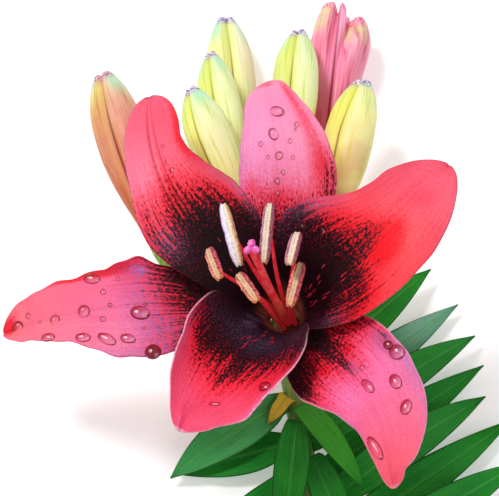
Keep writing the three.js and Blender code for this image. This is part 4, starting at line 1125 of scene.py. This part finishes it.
stem = {
    "cutRadius": 4.6, "headRadius": 3.7, "tipRadius": 2.2, "cutSlant": 0.7, "sides": 10,
    "lying": ((30, -206), (22, -140), (13, -80), (5.5, -34), (0, 0), (-1, 6)),
    "rising": ((-3, 19, 6.5), (-5, 35, 14.5), (-6, 50, 21)),
    "points": 900, "around": 28, "along": 300, "voxel": 0.6, "evened": 6,
}
stalk = {"radius": 1.7, "collar": 0.7, "around": 16, "along": 60}  # a bud's
bloomStalk = {
    "radius": 2.4, "collar": 0.25, "from": -16, "leave": (-3, 14, 8), "arrive": 16, "foot": -2,
    "around": 20, "along": 80,
}
cup = {  # the receptacle, from its foot to its rim and back to its middle
    "radii": (0, 2.4, 3.6, 5.1, 6.4, 6.0, 0), "heights": (-7.5, -6, -4.2, -2.2, -0.5, 0.1, 0.4),
    "lobes": 6, "lobe": 0.05, "around": 36, "along": 24,
}


def stemLine():
    lying, flat = stem["lying"], math.cos(math.pi / stem["sides"])
    corners = [
        Vector((x, y, lerp(stem["cutRadius"], stem["headRadius"], i / (len(lying) - 1)) * flat))
        for i, (x, y) in enumerate(lying)
    ]
    return smoothLine([*corners, *map(Vector, stem["rising"])], stem["points"])


mainLine = stemLine()


def stemAt(y):
    return next(i for i, p in enumerate(mainLine) if p.y >= y) / (len(mainLine) - 1)


headAt = stemAt(0)


def stemRadius(t):
    if t < headAt:
        return lerp(stem["cutRadius"], stem["headRadius"], t / headAt)
    return lerp(stem["headRadius"], stem["tipRadius"], (t - headAt) / (1 - headAt))


def stalkRadius(t):
    return lerp(stalk["radius"], budShape["foot"], t ** 3) + stalk["collar"] * (1 - smoothstep(t, 0, 0.18))


def bloomStalkRadius(t):
    return bloomStalk["radius"] * (1 + bloomStalk["collar"] * (1 - smoothstep(t, 0, 0.25)))


def cupPlace(s, turn):
    angle = 2 * math.pi * turn
    r = spread(cup["radii"], s) * (1 + cup["lobe"] * math.cos(cup["lobes"] * angle))
    return bloomPlace @ Vector((r * math.cos(angle), r * math.sin(angle), spread(cup["heights"], s)))


def makeStem(drops):
    bm = newRound()
    shapeRound(bm, stem["around"], stem["along"], alongTube(mainLine, stemRadius, up))
    cutY = stem["lying"][0][1]
    for v in bm.verts:
        if v.co.y < cutY + 4:
            v.co.y = cutY + (v.co.z - stem["cutRadius"]) * stem["cutSlant"]
    foot = bloomPlace @ Vector((0, 0, bloomStalk["foot"]))
    start = pointAt(mainLine, stemAt(bloomStalk["from"]))
    arrive = foot - (bloomTurn @ up) * bloomStalk["arrive"]
    line = bowLine(start, start + Vector(bloomStalk["leave"]), arrive, foot)
    limb = alongTube(line, bloomStalkRadius, Vector((1, 0, 0)))
    shapeRound(bm, bloomStalk["around"], bloomStalk["along"], limb)
    shapeRound(bm, cup["around"], cup["along"], cupPlace)
    for name, look in buds.items():
        base = Vector(look["base"]) + up * drops[name]
        way = (Vector(look["tip"]) - Vector(look["base"])).normalized()
        leave = pointAt(mainLine, lerp(headAt, 1, look["from"]))
        reach = (base - leave).length * 0.4
        out = base - leave
        out.z = 0
        line = bowLine(leave, leave + out.normalized() * reach, base - way * reach, base + way)
        shapeRound(bm, stalk["around"], stalk["along"], alongTube(line, stalkRadius, up))
    piece = finishPiece(bm, "lily_stem", makeStemSkin(), ["stem"], 0)
    remesh = piece.modifiers.new("grown as one", "REMESH")
    remesh.mode, remesh.voxel_size, remesh.use_smooth_shade = "VOXEL", stem["voxel"] * mm, True
    evened = piece.modifiers.new("evened", "SMOOTH")
    evened.factor, evened.iterations = 0.5, stem["evened"]
    bpy.context.view_layer.update()
    grown = bpy.data.meshes.new_from_object(piece.evaluated_get(bpy.context.evaluated_depsgraph_get()))
    piece.modifiers.clear()
    piece.data = grown
    grown.name = "lily_stem"
    for v in grown.vertices:
        v.co.z = max(v.co.z, 0)
    grown.shade_smooth()
    print("stem made:", len(grown.polygons), "faces")


# the leaves

leafShape = {
    "shortest": 75, "longest": 98, "half": 7.8, "base": 3.6, "edge": 0.45, "middle": 1.2, "fold": 16,
    "widest": 0.38, "wave": 0.35, "ribs": 4, "ribRelief": 0.07, "across": 10, "along": 34, "gap": 0.3,
    "steps": 24, "points": 120,
}
# Y is where a leaf leaves the stem, turn how far round it, from the right over the top, heading its
# direction over the table, and climb and tip its slope at the stem and at its tip.
upperLeaves = [
    {"y": -18, "turn": 132, "heading": 238, "climb": 30, "tip": 0, "length": 13.5, "half": 2.8,
     "coat": "bractGolden"},
    {"y": -13, "turn": 20, "heading": 43, "climb": 16, "tip": -12, "length": 66, "half": 8},
    {"y": -19, "turn": 160, "heading": 213.5, "climb": 22, "tip": -24, "length": 51, "half": 8.5,
     "coat": "leafBladeSkySheen"},
    {"y": -22, "turn": 72, "heading": 304, "climb": 50, "tip": -34, "length": 43, "half": 5,
     "coat": "leafBladeFresh"},
    {"y": -24, "turn": 4, "heading": 38, "climb": 0, "tip": 2, "length": 70, "half": 7.5,
     "coat": "leafBladeSkyReflection"},
    {"y": -27, "turn": 100, "heading": 264, "climb": 38, "tip": -22, "length": 60, "half": 6.5},
    {"y": -34, "turn": 176, "heading": 194.5, "climb": 2, "tip": -8, "length": 42, "half": 8},
    {"y": -35, "turn": 28, "heading": 34.5, "climb": 20, "tip": -20, "length": 74, "half": 8},
    {"y": -40.5, "turn": 60, "heading": 288, "climb": 38, "tip": -26, "length": 54, "half": 6.5},
    {"y": -46.5, "turn": 4, "heading": 33.5, "climb": 0, "tip": 2, "length": 73, "half": 7.5},
    {"y": -46, "turn": 155, "heading": 226, "climb": 20, "tip": -24, "length": 80, "half": 8},
]
lowerLeaves = {"count": 16, "first": -58, "pitch": 6.5}
topLeaves = {"count": 6, "first": -74, "pitch": 14}


def wobble(i, k):  # a repeatable value from -1 to 1
    x = math.sin(i * 127.1 + k * 311.7) * 43758.5453
    return 2 * (x - math.floor(x)) - 1


def lowerLeaf(i):
    right = i % 2 == 0
    high = ((i // 2) % 2 == 0) == right
    down = i / (lowerLeaves["count"] - 1)
    lift = 28 if high else 4
    return {
        "y": lowerLeaves["first"] - i * lowerLeaves["pitch"],
        "turn": lift if right else 180 - lift,
        "heading": (lerp(34, 22, down) if right else lerp(222, 212, down)) + wobble(i, 1),
        "climb": 22 if high else 0, "tip": -22 if high else 2,
        "length": lerp(leafShape["shortest"], leafShape["longest"], down) * (1 + 0.03 * wobble(i, 2)),
        "half": leafShape["half"],
    }


def topLeaf(i):
    right = i % 2 == 1
    return {
        "y": topLeaves["first"] - i * topLeaves["pitch"],
        "turn": 70 if right else 110,
        "heading": (303 if right else 243) + 2 * wobble(i, 5),
        "climb": 58 + 4 * wobble(i, 6), "tip": -24,
        "length": 74 + 5 * wobble(i, 7), "half": leafShape["half"] - 1,
    }


def leafPlace(look, i):
    shape = leafShape
    turn, heading = radians(look["turn"]), look["heading"]
    t = stemAt(look["y"])
    forward = wayAt(mainLine, t)
    right = Vector((forward.y, -forward.x, 0)).normalized()
    inward = -(right * math.cos(turn) + up * math.sin(turn))
    radius = stemRadius(t) + shape["gap"] + 0.55 * abs(math.sin(turn))
    line = [pointAt(mainLine, t) - inward * radius]
    steps, bend = shape["steps"], 3 * wobble(i, 3)
    for k in range(steps):
        s = (k + 0.5) / steps
        slope = radians(lerp(look["climb"], look["tip"], s))
        way = polar(math.cos(slope), heading + bend * s, math.sin(slope))
        line.append(line[k] + way * look["length"] / steps)
    leaning = radians(heading) - math.atan2(forward.y, forward.x)
    shear = -1 / math.tan(leaning) if abs(math.cos(turn)) > 0.7 else 0  # fits a side leaf's foot to the stem
    out = (line[1] - line[0]).normalized()
    roll = radians(8 * wobble(i, 4))
    fine = smoothLine(line, shape["points"])
    seed = Vector((i * 37, 0, 0))

    def place(s, u):
        along = wayAt(fine, s)
        across = up.cross(along).normalized()
        across.rotate(Matrix.Rotation(roll * s, 3, along))
        normal = along.cross(across)
        if s < shape["widest"]:
            wide = lerp(shape["base"], look["half"], math.sin(math.pi / 2 * s / shape["widest"]))
        else:
            wide = max(look["half"] * (1 - ((s - shape["widest"]) / (1 - shape["widest"])) ** 1.9), 0.25)
        fold = radians(shape["fold"] * (1 - 0.4 * s))
        flat = Vector((u * wide, s * look["length"], 0)) + seed
        wave = shape["wave"] * rough(flat, 16) * u * u * math.sin(math.pi * s)
        ribs = shape["ribRelief"] * math.cos(abs(u) * 2 * math.pi * shape["ribs"]) * math.sin(math.pi * s)
        point = pointAt(fine, s) + across * u * wide * math.cos(fold)
        point += normal * (abs(u) ** 1.2 * wide * math.sin(fold) + wave + ribs)
        point += out * u * wide * shear * (1 - smoothstep(s, 0, 0.15))
        point += inward * 1.3 * (1 - smoothstep(s, 0, 0.05))
        point.z = max(point.z, shape["middle"] / 2 + 0.02)
        return point

    return place


def leafHalf(s, u):
    return lerp(leafShape["middle"], leafShape["edge"], abs(u)) / 2


def makeLeaves():
    skins = {coat: makeLeafSkin(coat) for coat in leafCoats}
    below = map(lowerLeaf, range(lowerLeaves["count"]))
    onTop = map(topLeaf, range(topLeaves["count"]))
    looks = [*upperLeaves, *below, *onTop]
    for i, look in enumerate(looks):
        bm = bmesh.new()
        shapeBlade(bm, leafShape["across"], leafShape["along"], leafPlace(look, i), leafHalf)
        skin = skins[look.get("coat", "leafBladeGreen")]
        finishPiece(bm, f"blade_{i + 1:02d}", skin, [f"leaf_{i + 1:02d}"])
    print("leaves:", len(looks))


# the camera, and what is placed by it

view = {
    "lens": 131.6, "sensor": 36, "tilt": 22, "place": (-13.51, -215.67, 641.12),
    "width": 499, "height": 496,  # pixels
}


def makeCamera():
    camera = bpy.data.objects.new("camera", bpy.data.cameras.new("camera"))
    camera.data.lens, camera.data.sensor_width = view["lens"], view["sensor"]
    camera.rotation_euler = (radians(view["tilt"]), 0, 0)
    camera.location = Vector(view["place"]) * mm
    camera.data.clip_end = 20
    bpy.context.scene.collection.objects.link(camera)
    bpy.context.scene.camera = camera


# Rain drops: where each is in the camera's picture, in pixels, how wide and long it is, in millimetres, its
# slant in degrees and, where it isn't 0, how deep its colour is. Below 0 it is clear.
rain = {
    "tepal_sepal_top": (
        (277, 111.5, 3.9, 6.2, 60, -0.8), (273.5, 134, 3.5, 4.6, 20, -0.8), (297, 124.5, 2.0, 2.2, 0, -0.6),
        (295.5, 129.5, 1.1, 1.3, 0), (290, 141, 1.6, 1.9, 0, -0.6), (260.5, 144, 1.6, 2.0, 0, -0.6),
        (279, 155.5, 2.7, 3.1, 130, -0.5), (268, 157, 1.4, 1.6, 0, -0.6), (293, 157.5, 1.4, 1.7, 0, -0.6),
        (283, 172.5, 1.5, 2.0, 0, 0.1), (277, 181, 2.0, 2.3, 0), (277, 193, 1.7, 2.0, 0, 0.1),
    ),
    "tepal_sepal_left": (
        (92, 279, 3.8, 6.4, 80, 0.25), (103, 292, 2.1, 2.2, 0, -0.3), (118, 279, 1.4, 1.6, 0, -0.3),
        (84, 311.5, 4.2, 4.6, 0, -0.5), (55, 320.5, 3.8, 4.2, 0, -0.5), (103, 319, 2.1, 2.2, 0, -0.3),
        (110, 305, 1.4, 1.8, 80, 0.4), (140, 313, 5.4, 6.8, 75, 0.1), (48, 337.5, 3.4, 5.4, 85, -0.2),
        (83, 337.5, 3.4, 5.4, 85, 0.1), (107, 339, 3.5, 7.2, 60, 0.1), (128, 338.5, 3.4, 5.4, 75),
        (153, 352, 5.7, 5.7, 0, 0.9), (18, 328, 4.4, 5.4, 130, -0.5), (28, 316, 2.0, 2.2, 0, -0.3),
        (145, 304, 1.2, 1.6, 80, 0.5), (144, 328, 1.1, 1.4, 90, 0.2), (40, 322, 1.2, 1.3, 0, -0.3),
    ),
    "tepal_sepal_lower_right": (
        (397, 352, 5.2, 5.8, 60, 0.1), (388, 345, 3.2, 3.6, 60, 0.8), (395.5, 381.5, 4.1, 5.6, 25),
        (406, 407, 3.8, 5.4, 160), (368, 386, 3.0, 6.4, 40, -0.3), (375, 448, 3.5, 8.8, 28, -0.4),
        (362, 368, 1.9, 2.2, 0, -0.5),
    ),
    "tepal_petal_right": ((323, 231, 1.2, 2.0, -10), (302, 226, 1.0, 1.2, 0)),
    "tepal_petal_lower_left": ((265, 387, 4.2, 5.6, 60, 0.1), (215, 404, 1.6, 4.2, 85, -0.3)),
    "tepal_petal_upper_left": (
        (163, 146, 1.3, 1.4, 0, -0.3), (172, 170, 1.6, 1.9, 0), (148, 212, 1.2, 1.6, 0),
    ),
}
# Spray: how many tiny beads each tepal has. Height and sunk are shares of a bead's width.
spray = {"petal_lower_left": 46, "petal_right": 34, "petal_upper_left": 22, "sepal_lower_right": 16}
bead = {
    "height": 0.39, "sunk": 0.14, "size": (0.3, 0.75), "along": (0.25, 0.62), "aside": (-0.85, 0.85),
    "around": 10, "seed": 5,
}
dropAround = 20


def addDrop(bm, point, normal, wide, long, slant, deep, around):
    layer = bm.verts.layers.float["deep"]
    right = Vector((0, 1, 0)).cross(normal).normalized()
    right.rotate(Matrix.Rotation(radians(slant - 90), 3, normal))
    ahead = normal.cross(right)

    def place(s, turn):
        rise = -math.cos(math.pi * s)
        r = math.sin(math.pi * s) * (1 - 0.05 * rise)
        angle = 2 * math.pi * turn
        out = right * r * math.cos(angle) * long / 2 + ahead * r * math.sin(angle) * wide / 2
        return point + out + normal * wide * rise * (bead["height"] if rise > 0 else bead["sunk"])

    shapeRound(bm, around, around // 2 + 2, place)
    for v in bm.verts:
        if not v.tag:
            v[layer], v.tag = deep, True


def newDrops():
    bm = newRound()
    bm.verts.layers.float.new("deep")
    return bm


def makeRain():
    waterSkin = makeWater()
    origin = Vector(view["place"])
    turned = Matrix.Rotation(radians(view["tilt"]), 3, "X")
    focal = view["lens"] / view["sensor"] * view["width"]
    graph = bpy.context.evaluated_depsgraph_get()
    for name, spots in rain.items():
        tree = BVHTree.FromObject(bpy.data.objects[name], graph)
        bm = newDrops()
        for x, y, wide, long, slant, *deep in spots:
            ray = turned @ Vector((x - view["width"] / 2, view["height"] / 2 - y, -focal)).normalized()
            point, normal, _, _ = tree.ray_cast(origin * mm, ray)
            addDrop(bm, point / mm, normal, wide, long, slant, sum(deep), dropAround)
        finishPiece(bm, name.replace("tepal", "rain"), waterSkin, [], 0)
    print("rain drops:", sum(map(len, rain.values())))

    rng = random.Random(bead["seed"])
    for name, count in spray.items():
        place = tepalPlace(tepals[name])
        bm = newDrops()
        for _ in range(count):
            s, u = rng.uniform(*bead["along"]), rng.uniform(*bead["aside"])
            middle = place(s, u)
            normal = (place(s + 0.01, u) - middle).cross(place(s, u - 0.02) - middle).normalized()
            size = rng.uniform(*bead["size"])
            addDrop(bm, middle + normal * tepalHalf(s, u), normal, size, size, 0, 0, bead["around"])
        finishPiece(bm, "spray_" + name, waterSkin, [], 0)
    print("spray beads:", sum(spray.values()))


# The stage: a sheet of white paper, a bright studio round it, and two soft lamps.
stage = {"table": 4, "below": 0.0002, "aim": (0, 0, 0.04), "studio": 0.52}  # metres, and a strength of light
lamps = {
    "key": {"place": (-0.6, 0.5, 1.35), "size": 0.35, "power": 15},
    "fill": {"place": (0.9, -0.6, 1.1), "size": 0.8, "power": 3},
}


def makeStage():
    bm = bmesh.new()
    bmesh.ops.create_grid(bm, x_segments=1, y_segments=1, size=stage["table"])
    mesh = bpy.data.meshes.new("table")
    bm.to_mesh(mesh)
    bm.free()
    table = bpy.data.objects.new("table", mesh)
    table.location.z = -stage["below"]
    bpy.context.scene.collection.objects.link(table)
    paper = {"Base Color": "#F4F4F4", "Roughness": 0.9, "Emission Color": "#FFFFFF", "Emission Strength": 0.3}
    mesh.materials.append(newMaterial("whitePaper", paper)[0])
    world = bpy.data.worlds.new("studio")
    world.use_nodes = True
    background = world.node_tree.nodes["Background"].inputs
    feed(background["Color"], "#FFFFFF")
    feed(background["Strength"], stage["studio"])
    bpy.context.scene.world = world
    for name, lamp in lamps.items():
        light = bpy.data.lights.new(name, "AREA")
        light.size, light.energy = lamp["size"], lamp["power"]
        holder = bpy.data.objects.new(name, light)
        holder.location = lamp["place"]
        towards = Vector(stage["aim"]) - Vector(lamp["place"])
        holder.rotation_euler = towards.to_track_quat("-Z", "Y").to_euler()
        bpy.context.scene.collection.objects.link(holder)
    bpy.context.scene.view_settings.view_transform = "Standard"
    print("table, studio and lamps:", len(lamps))


makeCamera()
makeStage()
makeTepals()
makePapillae()
makeStamens()
makePistil()
makeStem(makeBuds())
makeLeaves()
makeRain()
